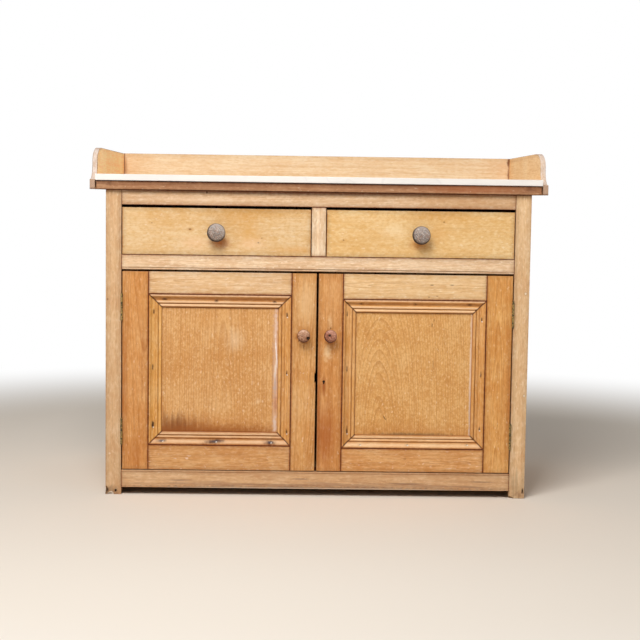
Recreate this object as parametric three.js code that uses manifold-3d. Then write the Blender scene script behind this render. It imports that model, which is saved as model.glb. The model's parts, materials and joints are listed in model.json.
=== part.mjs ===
// Pine dry sink cabinet: two drawers over two panelled doors, with a marble slab
// inside a low gallery on top. Millimetres, +Z up, the front faces -Y, +X is to the
// right, and the origin is on the floor under the middle of the whole cabinet.
import * as THREE from "three";
import { mergeVertices } from "three/addons/utils/BufferGeometryUtils.js";
import Module from "manifold-3d";

const wasm = await Module();
wasm.setup();

// Body and its front frame
const bodyWidth = 1203;
const bodyDepth = 668;
const footRise = 21;
const bottomRailHeight = 50;
const doorOpeningHeight = 574.5;
const midRailHeight = 43;
const drawerOpeningHeight = 139.5;
const topRailHeight = 42.5;
const frameThickness = 24;
const stileWidth = 44;
const muntinWidth = 40;
const sideThickness = 20;

// Bead and quirk worked along one edge of a rail
const beadWidth = 5;
const quirkWidth = 1.3;
const quirkDepth = 2;

// Back boards, let into a rebate in the sides, with a V joint between boards
const backThickness = 12;
const backRebateWidth = 10;
const backBoardWidth = 132;
const veeWidth = 4;
const veeDepth = 1.6;

// Floor board of the cupboard; it stands above the bottom rail, so the doors stop on it
const floorThickness = 18;
const floorLip = 10;

// Drawer runners: a bearer under the drawer side and a guide beside it
const bearerThickness = 25;
const bearerWidth = 26;
const guideHeight = 34;

// Top board, marble slab and gallery
const topBoardThickness = 25.5;
const topEndOverhang = 43.5;
const topBoardOverhang = 12;
const topBoardArris = 3;
const cornerReliefWidth = 3.5;
const cornerReliefDepth = 24;
const slabThickness = 17.5;
const slabOverhang = 15;
const slabArris = 1.5;
const galleryRise = 76.5;
const galleryThickness = 16;
const endThickness = 14.8;

// Outline of a gallery end: a square block in front, a hollow sweep, a round shoulder
// and a level top
const endBlockHeight = 28.5;
const endLedge = 4;
const endSweepReach = 50;
const endSweepRise = 44;
const endShoulderReach = 85;
const endShoulderRise = 40;

// Drawers
const drawerFrontThickness = 20;
const drawerLap = 7;
const drawerSideThickness = 12;
const drawerSideHeight = 118;
const drawerBackThickness = 12;
const drawerBackDrop = 8;
const drawerBottomThickness = 7;
const drawerBottomRise = 8;
const drawerGrooveDepth = 5;
const drawerSideGap = 1.5;
const drawerTopGap = 7;
const drawerRearGap = 2;

// Doors; the meeting line lies a little to the left of the middle
const doorThickness = 23;
const hingeStileWidth = 74;
const lockStileWidth = 70;
const doorHingeGap = 3;
const doorMeetingGap = 6;
const meetingShift = 1;
const doorTopGap = 5;
const doorBottomGap = 2.5;
const panelSetback = 11;
const panelThickness = 7;
const panelTongue = 8;
const leftTopRailHeight = 63;
const leftBottomRailHeight = 71;
const rightTopRailHeight = 71.5;
const rightBottomRailHeight = 67;

// Door moulding: its section runs from the frame inwards to the panel
const mouldingWidth = 38.5;
const mouldingProud = 1.5;
const mouldingSectionShares = [
  [0, 0], [0, 0.93], [0.02, 1], [0.145, 1], [0.167, 0.95],
  [0.185, 0.8], [0.22, 0.63], [0.27, 0.48], [0.335, 0.38], [0.415, 0.32], [0.48, 0.3],
  [0.49, 0.4], [0.53, 0.46], [0.585, 0.48], [0.64, 0.46], [0.69, 0.39],
  [0.7, 0.22], [0.73, 0.22], [0.74, 0.37],
  [0.77, 0.46], [0.83, 0.51], [0.89, 0.49], [0.94, 0.41], [0.975, 0.27], [0.985, 0.12], [1, 0],
];

// Butt hinges
const hingeLength = 76;
const hingeLeafWidth = 19;
const hingeKnuckles = 5;
const hingePinRadius = 1.5;
const hingeKnuckleWall = 1.2;

// Cupboard lock, cut into the back and edge of the right door
const keyholeDiameter = 7.5;
const keyholeSlotWidth = 4;
const keyholeSlotDrop = 8;
const keyholeInset = 17.8;
const keyholeHeight = 258.5;
const lockCaseWidth = 56;
const lockCaseHeight = 46;
const lockWall = 3.2;
const boltThickness = 5;
const boltHeight = 12;
const boltLength = 40;
const boltRise = 11;
const boltInset = 0.5;
const strikeDepth = 3;
const strikeHeight = 29;

// Turned knobs: [radius share, length share] of the head in front of the wood
const drawerKnobDiameter = 52;
const drawerKnobLength = 36;
const drawerKnobShank = 15;
const drawerKnobDrop = 2;
const doorKnobDiameter = 37;
const doorKnobLength = 28;
const doorKnobShank = 10;
const doorKnobHeight = 390.5;
const drawerKnobHeadShares = [
  [0.46, 0], [0.46, 0.06], [0.36, 0.14], [0.33, 0.3], [0.4, 0.44], [0.74, 0.55], [0.95, 0.62],
  [1, 0.68], [1, 0.73], [0.96, 0.79], [0.84, 0.87], [0.62, 0.94], [0.34, 0.985], [0, 1],
];
const doorKnobHeadShares = [
  [0.62, 0], [0.62, 0.06], [0.48, 0.12], [0.42, 0.26], [0.46, 0.38], [0.7, 0.46], [0.93, 0.56],
  [1, 0.67], [0.97, 0.78], [0.85, 0.88], [0.64, 0.95], [0.36, 0.985], [0, 1],
];

// Clearances and overruns
const runningGap = 0.5;
const fitGap = 0.3;
const panelPlay = 0.2;
const cutOverrun = 1;
const roundSegments = 20;
const knobSegments = 32;
const arrisSegments = 3;
const sweepSegments = 8;

// Places worked out from the sizes
const bottomRailTop = footRise + bottomRailHeight;
const midRailBottom = bottomRailTop + doorOpeningHeight;
const midRailTop = midRailBottom + midRailHeight;
const topRailBottom = midRailTop + drawerOpeningHeight;
const bodyTop = topRailBottom + topRailHeight;
const slabBottom = bodyTop + topBoardThickness;
const slabTop = slabBottom + slabThickness;
const galleryTop = slabTop + galleryRise;
const halfBody = bodyWidth / 2;
const halfOpening = halfBody - stileWidth;
const halfInside = halfBody - sideThickness;
const halfTop = halfBody + topEndOverhang - endThickness;
const backFace = bodyDepth - backThickness;
const galleryFace = bodyDepth - galleryThickness;
const floorTop = bottomRailTop + floorLip;
const bearerBottom = midRailTop - bearerThickness;

const materials = {
  pineFrame: wood(0xd9ae82, 0.62),
  pineDrawer: wood(0xdcab70, 0.58),
  pineDoor: wood(0xd39f66, 0.58),
  pinePanel: wood(0xd6a56c, 0.6),
  pineMoulding: wood(0xd8a86e, 0.58),
  pineInside: wood(0xcfa678, 0.75),
  marble: new THREE.MeshStandardMaterial({ color: 0xf4f2ee, roughness: 0.32, metalness: 0 }),
  drawerKnob: wood(0x8b7867, 0.55),
  doorKnob: wood(0xb57e58, 0.5),
  hingeBrass: new THREE.MeshStandardMaterial({ color: 0x7c6a4c, roughness: 0.45, metalness: 1 }),
  lockIron: new THREE.MeshStandardMaterial({ color: 0x4a4541, roughness: 0.6, metalness: 1 }),
};

function wood(color, roughness) {
  return new THREE.MeshStandardMaterial({ color, roughness, metalness: 0 });
}

// Adds a named mesh with its geometry in the group's own frame
function addPiece(group, name, material, geometry) {
  const mesh = new THREE.Mesh(geometry, material);
  mesh.name = name;
  group.add(mesh);
  return mesh;
}

// Box between two values along each axis, given in either order
function block([x0, x1], [y0, y1], [z0, z1]) {
  const box = new THREE.BoxGeometry(Math.abs(x1 - x0), Math.abs(y1 - y0), Math.abs(z1 - z0));
  return box.translate((x0 + x1) / 2, (y0 + y1) / 2, (z0 + z1) / 2);
}

function shapeOf(points) {
  return new THREE.Shape(points.map(([a, b]) => new THREE.Vector2(a, b)));
}

function extrude(shape, length, curveSegments = sweepSegments) {
  return new THREE.ExtrudeGeometry(shape, { depth: length, bevelEnabled: false, curveSegments });
}

// Solid with its outline in the YZ plane, running along X
function alongX(shape, x0, x1) {
  const turn = new THREE.Matrix4().makeBasis(
    new THREE.Vector3(0, 1, 0),
    new THREE.Vector3(0, 0, 1),
    new THREE.Vector3(1, 0, 0),
  );
  return extrude(shape, x1 - x0).applyMatrix4(turn).translate(x0, 0, 0);
}

// Solid with its outline in the XZ plane, running along Y
function alongY(shape, y0, y1) {
  return extrude(shape, y1 - y0).rotateX(Math.PI / 2).translate(0, y1, 0);
}

// Solid with its outline in the XY plane, running along Z
function alongZ(shape, z0, z1) {
  return extrude(shape, z1 - z0).translate(0, 0, z0);
}

function roundBar(radius, z0, z1) {
  const bar = new THREE.CylinderGeometry(radius, radius, z1 - z0, roundSegments);
  return bar.rotateX(Math.PI / 2).translate(0, 0, (z0 + z1) / 2);
}

function solidOf(geometry) {
  const bare = geometry.clone();
  bare.deleteAttribute("normal");
  bare.deleteAttribute("uv");
  const merged = mergeVertices(bare);
  return new wasm.Manifold(new wasm.Mesh({
    numProp: 3,
    vertProperties: new Float32Array(merged.attributes.position.array),
    triVerts: new Uint32Array(merged.index.array),
  }));
}

function geometryOf(solid) {
  const mesh = solid.getMesh();
  const geometry = new THREE.BufferGeometry();
  geometry.setAttribute("position", new THREE.BufferAttribute(mesh.vertProperties, mesh.numProp));
  geometry.setIndex(new THREE.BufferAttribute(mesh.triVerts, 1));
  geometry.computeVertexNormals();
  return geometry;
}

function join(...geometries) {
  return geometryOf(geometries.map(solidOf).reduce((whole, next) => whole.add(next)));
}

function cut(geometry, ...cutters) {
  return geometryOf(cutters.map(solidOf).reduce((rest, cutter) => rest.subtract(cutter), solidOf(geometry)));
}

// Quarter round points from one arris to the next, about a centre
function arcPoints(centreA, centreB, radius, startTurn, endTurn, steps) {
  const points = [];
  for (let i = 0; i <= steps; i += 1) {
    const angle = (startTurn + ((endTurn - startTurn) * i) / steps) * 2 * Math.PI;
    points.push([centreA + radius * Math.cos(angle), centreB + radius * Math.sin(angle)]);
  }
  return points;
}

// Rail section: a square bar with a bead and quirk along one edge of its face.
// beadAtTop puts the bead on the upper edge, and otherwise it is on the lower edge.
function beadedRail(height, beadAtTop) {
  const radius = beadWidth / 2;
  const points = [
    [frameThickness, height],
    [0, height],
    [0, beadWidth + quirkWidth],
    [quirkDepth, beadWidth + quirkWidth],
    [quirkDepth, beadWidth],
    ...arcPoints(radius, radius, radius, 0.3, 0.75, arrisSegments * 2),
    [frameThickness, 0],
  ];
  return shapeOf(beadAtTop ? points.map(([y, z]) => [y, height - z]) : points);
}

// Outline of the back boards, with a V joint on both faces between boards
function backOutline(halfWidth) {
  const count = Math.round((2 * halfWidth) / backBoardWidth);
  const pitch = (2 * halfWidth) / count;
  const joints = Array.from({ length: count - 1 }, (_, i) => (i + 1) * pitch - halfWidth);
  const vee = (x, face, inward) => [
    [x - veeWidth / 2, face],
    [x, face + inward * veeDepth],
    [x + veeWidth / 2, face],
  ];
  const front = joints.flatMap((x) => vee(x, backFace, 1));
  const rear = joints.flatMap((x) => vee(x, bodyDepth, -1)).reverse();
  return [[-halfWidth, backFace], ...front, [halfWidth, backFace], [halfWidth, bodyDepth], ...rear,
    [-halfWidth, bodyDepth]];
}

function makeCarcass() {
  const carcass = new THREE.Group();
  const add = (name, material, geometry) => addPiece(carcass, name, material, geometry);
  const { pineFrame, pineInside } = materials;

  for (const [side, sign] of [["left", -1], ["right", 1]]) {
    const outline = shapeOf([
      [sign * halfBody, frameThickness],
      [sign * halfBody, bodyDepth],
      [sign * (halfBody - sideThickness + backRebateWidth), bodyDepth],
      [sign * (halfBody - sideThickness + backRebateWidth), backFace],
      [sign * halfInside, backFace],
      [sign * halfInside, frameThickness],
    ]);
    add(`${side}_side`, pineFrame, alongZ(outline, 0, bodyTop));
    add(`${side}_front_stile`, pineFrame,
      block([sign * halfBody, sign * halfOpening], [0, frameThickness], [0, bodyTop]));
  }

  const rail = (height, beadAtTop, bottom) =>
    alongX(beadedRail(height, beadAtTop), -halfOpening, halfOpening).translate(0, 0, bottom);
  add("bottom_rail", pineFrame, rail(bottomRailHeight, true, footRise));
  add("mid_rail", pineFrame, rail(midRailHeight, false, midRailBottom));
  add("top_rail", pineFrame,
    block([-halfOpening, halfOpening], [0, frameThickness], [topRailBottom, bodyTop]));
  add("drawer_muntin", pineFrame,
    block([-muntinWidth / 2, muntinWidth / 2], [0, frameThickness], [midRailTop, topRailBottom]));

  add("cupboard_floor", pineInside,
    block([-halfInside, halfInside], [frameThickness, backFace], [floorTop - floorThickness, floorTop]));
  const backHalf = halfInside + backRebateWidth - fitGap;
  add("back_boards", pineInside, alongZ(shapeOf(backOutline(backHalf)), footRise, bodyTop));

  const drawerOuter = halfOpening - drawerSideGap;
  for (const [side, sign] of [["left", -1], ["right", 1]]) {
    const outline = shapeOf([
      [sign * halfInside, bearerBottom],
      [sign * (drawerOuter - bearerWidth), bearerBottom],
      [sign * (drawerOuter - bearerWidth), midRailTop],
      [sign * (drawerOuter + runningGap), midRailTop],
      [sign * (drawerOuter + runningGap), midRailTop + guideHeight],
      [sign * halfInside, midRailTop + guideHeight],
    ]);
    add(`${side}_drawer_runner`, pineInside, alongY(outline, frameThickness, backFace));
  }
  const guideHalf = muntinWidth / 2 + drawerSideGap - runningGap;
  const bearerHalf = muntinWidth / 2 + drawerSideGap + bearerWidth;
  const centreOutline = shapeOf([
    [-bearerHalf, bearerBottom], [bearerHalf, bearerBottom], [bearerHalf, midRailTop],
    [guideHalf, midRailTop], [guideHalf, midRailTop + guideHeight],
    [-guideHalf, midRailTop + guideHeight], [-guideHalf, midRailTop], [-bearerHalf, midRailTop],
  ]);
  add("centre_drawer_runner", pineInside, alongY(centreOutline, frameThickness, backFace));
  return carcass;
}

// Gallery end seen from the side, in the YZ plane
function endOutline() {
  const front = -slabOverhang;
  const sweepTop = bodyTop + endBlockHeight + endSweepRise;
  const faceY = front + endLedge + endSweepReach;
  const outline = new THREE.Shape();
  outline.moveTo(front, bodyTop);
  outline.lineTo(bodyDepth, bodyTop);
  outline.lineTo(bodyDepth, galleryTop);
  outline.lineTo(faceY + endShoulderReach, galleryTop);
  outline.absellipse(faceY + endShoulderReach, galleryTop - endShoulderRise, endShoulderReach,
    endShoulderRise, Math.PI / 2, Math.PI, false);
  outline.absellipse(front + endLedge, sweepTop, endSweepReach, endSweepRise, 0, -Math.PI / 2, true);
  outline.lineTo(front, bodyTop + endBlockHeight);
  return outline;
}

function makeTop() {
  const top = new THREE.Group();
  const boardFront = -topBoardOverhang;
  const reliefX = halfTop - cornerReliefWidth;
  const board = alongX(shapeOf([
    [bodyDepth, bodyTop],
    ...arcPoints(boardFront + topBoardArris, bodyTop + topBoardArris, topBoardArris, 0.75, 0.5,
      arrisSegments),
    [boardFront, slabBottom],
    [bodyDepth, slabBottom],
  ]), -halfTop, halfTop);
  const relief = (sign) => block(
    [sign * reliefX, sign * (halfTop + cutOverrun)],
    [boardFront - cutOverrun, boardFront + cornerReliefDepth],
    [bodyTop - cutOverrun, slabBottom + cutOverrun],
  );
  addPiece(top, "top_board", materials.pineFrame, cut(board, relief(-1), relief(1)));

  const slabFront = -slabOverhang;
  const slab = shapeOf([
    [galleryFace, slabBottom],
    ...arcPoints(slabFront + slabArris, slabBottom + slabArris, slabArris, 0.75, 0.5, arrisSegments),
    ...arcPoints(slabFront + slabArris, slabTop - slabArris, slabArris, 0.5, 0.25, arrisSegments),
    [galleryFace, slabTop],
  ]);
  addPiece(top, "marble_slab", materials.marble, alongX(slab, fitGap - halfTop, halfTop - fitGap));
  addPiece(top, "gallery_back", materials.pineFrame,
    block([-halfTop, halfTop], [galleryFace, bodyDepth], [slabBottom, galleryTop]));
  for (const [side, x0] of [["left", -halfTop - endThickness], ["right", halfTop]]) {
    const end = alongX(endOutline(), x0, x0 + endThickness);
    addPiece(top, `gallery_${side}_end`, materials.pineFrame, end);
  }
  return top;
}

// Turned knob on the -Y side of a face at y = 0, with a shank through the wood
function turnedKnob(headShares, diameter, length, shank, woodThickness) {
  const radius = diameter / 2;
  const profile = [
    [0, -woodThickness],
    [shank / 2, -woodThickness],
    [shank / 2, fitGap],
    ...headShares.map(([r, l]) => [r * radius, fitGap + l * (length - fitGap)]),
  ];
  const points = profile.map(([r, l]) => new THREE.Vector2(r, l));
  return new THREE.LatheGeometry(points, knobSegments).rotateX(Math.PI);
}

// Round hole through a piece from its face at y = 0 to its back
function holeThrough(radius, thickness, x, z) {
  const hole = new THREE.CylinderGeometry(radius, radius, thickness + 2 * cutOverrun, roundSegments);
  return hole.translate(x, thickness / 2, z);
}

// One drawer about the middle of its front's lower edge, with the front's face at y = 0
function makeDrawer(side) {
  const drawer = new THREE.Group();
  const { pineDrawer, pineInside, drawerKnob } = materials;
  const half = (halfOpening - muntinWidth / 2) / 2 - drawerSideGap;
  const inner = half - drawerSideThickness;
  const height = drawerOpeningHeight - runningGap - drawerTopGap;
  const rear = backFace - drawerRearGap;
  const bottomTop = drawerBottomRise + drawerBottomThickness;
  const knobHeight = height / 2 - drawerKnobDrop;
  const grooveReach = inner + drawerGrooveDepth;

  const frontPlan = shapeOf([
    [-half, 0], [half, 0], [half, drawerLap], [inner, drawerLap], [inner, drawerFrontThickness],
    [-inner, drawerFrontThickness], [-inner, drawerLap], [-half, drawerLap],
  ]);
  const frontGroove = block(
    [-inner - cutOverrun, inner + cutOverrun],
    [drawerFrontThickness - drawerGrooveDepth, drawerFrontThickness + cutOverrun],
    [drawerBottomRise - panelPlay, bottomTop + panelPlay],
  );
  const knobHole = holeThrough(drawerKnobShank / 2 + fitGap, drawerFrontThickness, 0, knobHeight);
  addPiece(drawer, `${side}_drawer_front`, pineDrawer,
    cut(alongZ(frontPlan, 0, height), frontGroove, knobHole));

  for (const [hand, sign] of [["left", -1], ["right", 1]]) {
    const section = shapeOf([
      [sign * half, 0],
      [sign * inner, 0],
      [sign * inner, drawerBottomRise - panelPlay],
      [sign * grooveReach, drawerBottomRise - panelPlay],
      [sign * grooveReach, bottomTop + panelPlay],
      [sign * inner, bottomTop + panelPlay],
      [sign * inner, drawerSideHeight],
      [sign * half, drawerSideHeight],
    ]);
    addPiece(drawer, `${side}_drawer_${hand}_side`, pineInside, alongY(section, drawerLap, rear));
  }
  addPiece(drawer, `${side}_drawer_bottom`, pineInside, block(
    [fitGap - grooveReach, grooveReach - fitGap],
    [drawerFrontThickness - drawerGrooveDepth + fitGap, rear],
    [drawerBottomRise, bottomTop],
  ));
  addPiece(drawer, `${side}_drawer_back`, pineInside, block(
    [-inner, inner], [rear - drawerBackThickness, rear], [bottomTop, drawerSideHeight - drawerBackDrop],
  ));
  addPiece(drawer, `${side}_drawer_knob`, drawerKnob,
    turnedKnob(drawerKnobHeadShares, drawerKnobDiameter, drawerKnobLength, drawerKnobShank,
      drawerFrontThickness)).position.z = knobHeight;
  return drawer;
}

// Run of moulding along X with mitred ends: w is its distance in from the frame
function mitredRun(length) {
  const height = panelSetback + mouldingProud;
  const points = mouldingSectionShares.map(([across, rise]) =>
    new THREE.Vector2(panelSetback - rise * height, fitGap + across * (mouldingWidth - fitGap)));
  if (THREE.ShapeUtils.isClockWise(points)) {
    points.reverse();
  }
  const count = points.length;
  const left = points.map((p) => [p.y + fitGap, p.x, p.y]);
  const right = points.map((p) => [length - p.y - fitGap, p.x, p.y]);
  const faces = [];
  for (let i = 0; i < count; i += 1) {
    const next = (i + 1) % count;
    faces.push([i, next, count + i], [next, count + next, count + i]);
  }
  for (const [a, b, c] of THREE.ShapeUtils.triangulateShape(points, [])) {
    faces.push([a, c, b], [count + a, count + b, count + c]);
  }
  const geometry = new THREE.BufferGeometry();
  geometry.setAttribute("position", new THREE.Float32BufferAttribute([...left, ...right].flat(), 3));
  geometry.setIndex(faces.flat());
  geometry.computeVertexNormals();
  return geometry;
}

// Keyhole through a piece: a round hole with a slot below it
function keyholeCutter(x, z, depth) {
  const round = new THREE.CylinderGeometry(
    keyholeDiameter / 2, keyholeDiameter / 2, depth + 2 * cutOverrun, roundSegments,
  ).translate(x, depth / 2, z);
  const slot = block(
    [x - keyholeSlotWidth / 2, x + keyholeSlotWidth / 2],
    [-cutOverrun, depth + cutOverrun],
    [z - keyholeSlotDrop, z],
  );
  return join(round, slot);
}

// The lock's place in the door, seen from the back: along the edge, in depth and in height
const lockDepth = boltThickness + 2 * lockWall;
const lockMiddle = keyholeHeight + boltRise / 2;
const boltMiddle = keyholeHeight + boltRise;
const lockFront = doorThickness - lockDepth;

// One door about the foot of its hinge edge, with its face at y = 0. hand is 1 when the
// door runs to +X from its hinges and -1 when it runs to -X.
function makeDoor({ side, hand, width, topRailHeight: upper, bottomRailHeight: lower }) {
  const door = new THREE.Group();
  const { pineDoor, pinePanel, pineMoulding, doorKnob } = materials;
  const height = doorOpeningHeight - doorTopGap - doorBottomGap;
  const lockEdge = width - lockStileWidth;
  const openingWidth = lockEdge - hingeStileWidth;
  const openingHeight = height - upper - lower;
  const grooveFront = panelSetback - panelPlay;
  const grooveBack = panelSetback + panelThickness + panelPlay;
  const knobX = width - lockStileWidth / 2;

  // Stile outline with the panel groove in its inner edge
  const stile = (outer, inner) => {
    const reach = inner + Math.sign(outer - inner) * panelTongue;
    return alongZ(shapeOf([
      [hand * outer, 0], [hand * inner, 0], [hand * inner, grooveFront], [hand * reach, grooveFront],
      [hand * reach, grooveBack], [hand * inner, grooveBack], [hand * inner, doorThickness],
      [hand * outer, doorThickness],
    ]), 0, height);
  };
  // Rail outline with the panel groove in its inner edge
  const rail = (outer, inner) => {
    const reach = inner + Math.sign(outer - inner) * panelTongue;
    const [x0, x1] = [hand * hingeStileWidth, hand * lockEdge].sort((a, b) => a - b);
    return alongX(shapeOf([
      [0, outer], [0, inner], [grooveFront, inner], [grooveFront, reach], [grooveBack, reach],
      [grooveBack, inner], [doorThickness, inner], [doorThickness, outer],
    ]), x0, x1);
  };
  addPiece(door, `${side}_door_hinge_stile`, pineDoor, stile(0, hingeStileWidth));
  const lockCuts = [holeThrough(doorKnobShank / 2 + fitGap, doorThickness, hand * knobX, doorKnobHeight)];
  if (side === "right") {
    lockCuts.push(keyholeCutter(hand * (width - keyholeInset), keyholeHeight, doorThickness));
    lockCuts.push(block(
      [hand * (width - lockCaseWidth - fitGap), hand * (width + cutOverrun)],
      [lockFront - fitGap, doorThickness + cutOverrun],
      [lockMiddle - lockCaseHeight / 2 - fitGap, lockMiddle + lockCaseHeight / 2 + fitGap],
    ));
  } else {
    lockCuts.push(block(
      [hand * (width - strikeDepth), hand * (width + cutOverrun)],
      [-cutOverrun, doorThickness + cutOverrun],
      [boltMiddle - strikeHeight / 2, boltMiddle + strikeHeight / 2],
    ));
  }
  addPiece(door, `${side}_door_lock_stile`, pineDoor, cut(stile(width, lockEdge), ...lockCuts));
  addPiece(door, `${side}_door_bottom_rail`, pineDoor, rail(0, lower));
  addPiece(door, `${side}_door_top_rail`, pineDoor, rail(height, height - upper));
  const tongue = panelTongue - fitGap;
  addPiece(door, `${side}_door_panel`, pinePanel, block(
    [hand * (hingeStileWidth - tongue), hand * (lockEdge + tongue)],
    [panelSetback, panelSetback + panelThickness],
    [lower - tongue, height - upper + tongue],
  ));

  // Mouldings, each turned about the middle of the panel to its own side
  const frame = new THREE.Group();
  frame.position.set(hand * (hingeStileWidth + lockEdge) / 2, 0, lower + openingHeight / 2);
  door.add(frame);
  const runs = [
    ["bottom", 0, openingWidth, openingHeight],
    ["left", Math.PI / 2, openingHeight, openingWidth],
    ["top", Math.PI, openingWidth, openingHeight],
    ["right", -Math.PI / 2, openingHeight, openingWidth],
  ];
  for (const [place, turn, length, across] of runs) {
    const run = mitredRun(length).translate(-length / 2, 0, -across / 2);
    addPiece(frame, `${side}_door_${place}_moulding`, pineMoulding, run).rotation.y = turn;
  }
  addPiece(door, `${side}_door_knob`, doorKnob,
    turnedKnob(doorKnobHeadShares, doorKnobDiameter, doorKnobLength, doorKnobShank, doorThickness))
    .position.set(hand * knobX, 0, doorKnobHeight);
  return door;
}

// Lock case and its bolt, in the right door's frame
function makeLock(width) {
  const lock = new THREE.Group();
  const edge = -width;
  const boltFront = lockFront + lockWall;
  const channelEnd = edge + boltInset + boltLength + fitGap;
  const caseBlock = block(
    [edge, edge + lockCaseWidth],
    [lockFront, doorThickness],
    [lockMiddle - lockCaseHeight / 2, lockMiddle + lockCaseHeight / 2],
  );
  const channel = block(
    [edge - cutOverrun, channelEnd],
    [boltFront - fitGap, boltFront + boltThickness + fitGap],
    [boltMiddle - boltHeight / 2 - fitGap, boltMiddle + boltHeight / 2 + fitGap],
  );
  const keyway = keyholeCutter(edge + keyholeInset, keyholeHeight, doorThickness - lockWall);
  addPiece(lock, "lock_case", materials.lockIron, cut(caseBlock, channel, keyway));
  addPiece(lock, "lock_bolt", materials.lockIron, block(
    [edge + boltInset, edge + boltInset + boltLength],
    [boltFront, boltFront + boltThickness],
    [boltMiddle - boltHeight / 2, boltMiddle + boltHeight / 2],
  ));
  return lock;
}

// Butt hinge about its pin, standing from z = 0. hand is 1 when the door is on the +X side.
function makeHinge(name, hand) {
  const hinge = new THREE.Group();
  const barrel = hingePinRadius + fitGap + hingeKnuckleWall;
  const leafGap = fitGap + panelPlay;
  const leafThickness = (doorHingeGap - leafGap) / 2;
  const pitch = hingeLength / hingeKnuckles;
  const leafStart = barrel + leafGap;

  // A leaf lies beside the pin and reaches it at its own knuckles
  const leaf = (way, own) => {
    const near = way * leafGap / 2;
    const far = way * (leafGap / 2 + leafThickness);
    const plate = block([near, far], [leafStart, barrel + hingeLeafWidth], [0, hingeLength]);
    const knuckles = own.flatMap((i) => {
      const z0 = i * pitch + (i > 0 ? fitGap / 2 : 0);
      const z1 = (i + 1) * pitch - (i < hingeKnuckles - 1 ? fitGap / 2 : 0);
      return [roundBar(barrel, z0, z1), block([near, far], [0, leafStart + cutOverrun], [z0, z1])];
    });
    return join(plate, ...knuckles);
  };
  const numbers = Array.from({ length: hingeKnuckles }, (_, i) => i);
  const pin = roundBar(hingePinRadius, 0, hingeLength);
  const frameLeaf = join(leaf(-hand, numbers.filter((i) => i % 2 === 0)), pin);
  const bore = roundBar(hingePinRadius + fitGap, -cutOverrun, hingeLength + cutOverrun);
  const doorLeaf = cut(leaf(hand, numbers.filter((i) => i % 2 === 1)), bore);
  addPiece(hinge, `${name}_frame_leaf`, materials.hingeBrass, frameLeaf);
  addPiece(hinge, `${name}_door_leaf`, materials.hingeBrass, doorLeaf);
  hinge.position.y = -barrel;
  return hinge;
}

const cabinet = new THREE.Group();
cabinet.add(makeCarcass(), makeTop());

for (const [side, sign] of [["left", -1], ["right", 1]]) {
  const drawer = makeDrawer(side);
  drawer.position.set(sign * (halfOpening + muntinWidth / 2) / 2, 0, midRailTop + runningGap);
  cabinet.add(drawer);
}

const doorPlans = [
  {
    side: "left",
    hand: 1,
    width: halfOpening - meetingShift - doorHingeGap - doorMeetingGap / 2,
    topRailHeight: leftTopRailHeight,
    bottomRailHeight: leftBottomRailHeight,
  },
  {
    side: "right",
    hand: -1,
    width: halfOpening + meetingShift - doorHingeGap - doorMeetingGap / 2,
    topRailHeight: rightTopRailHeight,
    bottomRailHeight: rightBottomRailHeight,
  },
];
for (const plan of doorPlans) {
  const door = makeDoor(plan);
  door.position.set(plan.hand * (doorHingeGap - halfOpening), 0, bottomRailTop + doorBottomGap);
  cabinet.add(door);
  if (plan.side === "right") {
    door.add(makeLock(plan.width));
  }
  const doorTop = midRailBottom - doorTopGap;
  const doorBottom = bottomRailTop + doorBottomGap;
  const hingeFeet = {
    upper: doorTop - plan.topRailHeight - hingeLength,
    lower: doorBottom + plan.bottomRailHeight,
  };
  for (const [place, foot] of Object.entries(hingeFeet)) {
    const hinge = makeHinge(`${plan.side}_door_${place}_hinge`, plan.hand);
    hinge.position.x = plan.hand * (doorHingeGap / 2 - halfOpening);
    hinge.position.z = foot;
    cabinet.add(hinge);
  }
}

// The middle of the whole depth, from the drawer knobs to the back, is over the origin
cabinet.position.y = (drawerKnobLength - bodyDepth) / 2;
cabinet.updateMatrixWorld(true);

export default cabinet;
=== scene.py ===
"""An old dry sink cabinet in stripped pine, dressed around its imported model.

Two lipped drawers stand over two panelled doors, and a marble slab lies on top behind a low
gallery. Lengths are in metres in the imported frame: +X right, the front faces -Y and +Z is up.
Sizes that are written in millimetres are multiplied by MM.
"""
import json
import logging
import math
import random
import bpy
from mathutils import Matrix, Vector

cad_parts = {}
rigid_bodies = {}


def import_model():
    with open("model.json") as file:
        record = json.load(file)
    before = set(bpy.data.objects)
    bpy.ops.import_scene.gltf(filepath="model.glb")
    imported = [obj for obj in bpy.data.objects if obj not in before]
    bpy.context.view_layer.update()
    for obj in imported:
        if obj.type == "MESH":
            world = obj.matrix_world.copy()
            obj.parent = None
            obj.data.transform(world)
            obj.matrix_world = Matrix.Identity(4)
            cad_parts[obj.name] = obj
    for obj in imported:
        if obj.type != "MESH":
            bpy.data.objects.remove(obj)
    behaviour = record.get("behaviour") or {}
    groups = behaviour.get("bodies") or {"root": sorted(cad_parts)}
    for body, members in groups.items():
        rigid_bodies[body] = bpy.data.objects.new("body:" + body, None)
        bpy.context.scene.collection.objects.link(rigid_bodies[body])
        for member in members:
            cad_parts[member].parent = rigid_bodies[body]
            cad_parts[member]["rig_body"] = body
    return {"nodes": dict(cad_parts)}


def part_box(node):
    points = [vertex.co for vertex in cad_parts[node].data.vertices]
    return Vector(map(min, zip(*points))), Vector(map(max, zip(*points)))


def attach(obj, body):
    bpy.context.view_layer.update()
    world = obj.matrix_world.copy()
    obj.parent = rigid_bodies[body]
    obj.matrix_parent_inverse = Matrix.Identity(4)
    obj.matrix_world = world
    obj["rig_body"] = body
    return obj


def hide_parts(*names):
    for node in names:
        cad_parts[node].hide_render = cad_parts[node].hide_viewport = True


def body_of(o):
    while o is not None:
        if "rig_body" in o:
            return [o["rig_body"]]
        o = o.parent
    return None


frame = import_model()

import zlib
from dataclasses import dataclass, field, replace
from enum import Enum
from itertools import product
from typing import Any, Callable, Iterable, Sequence

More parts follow.
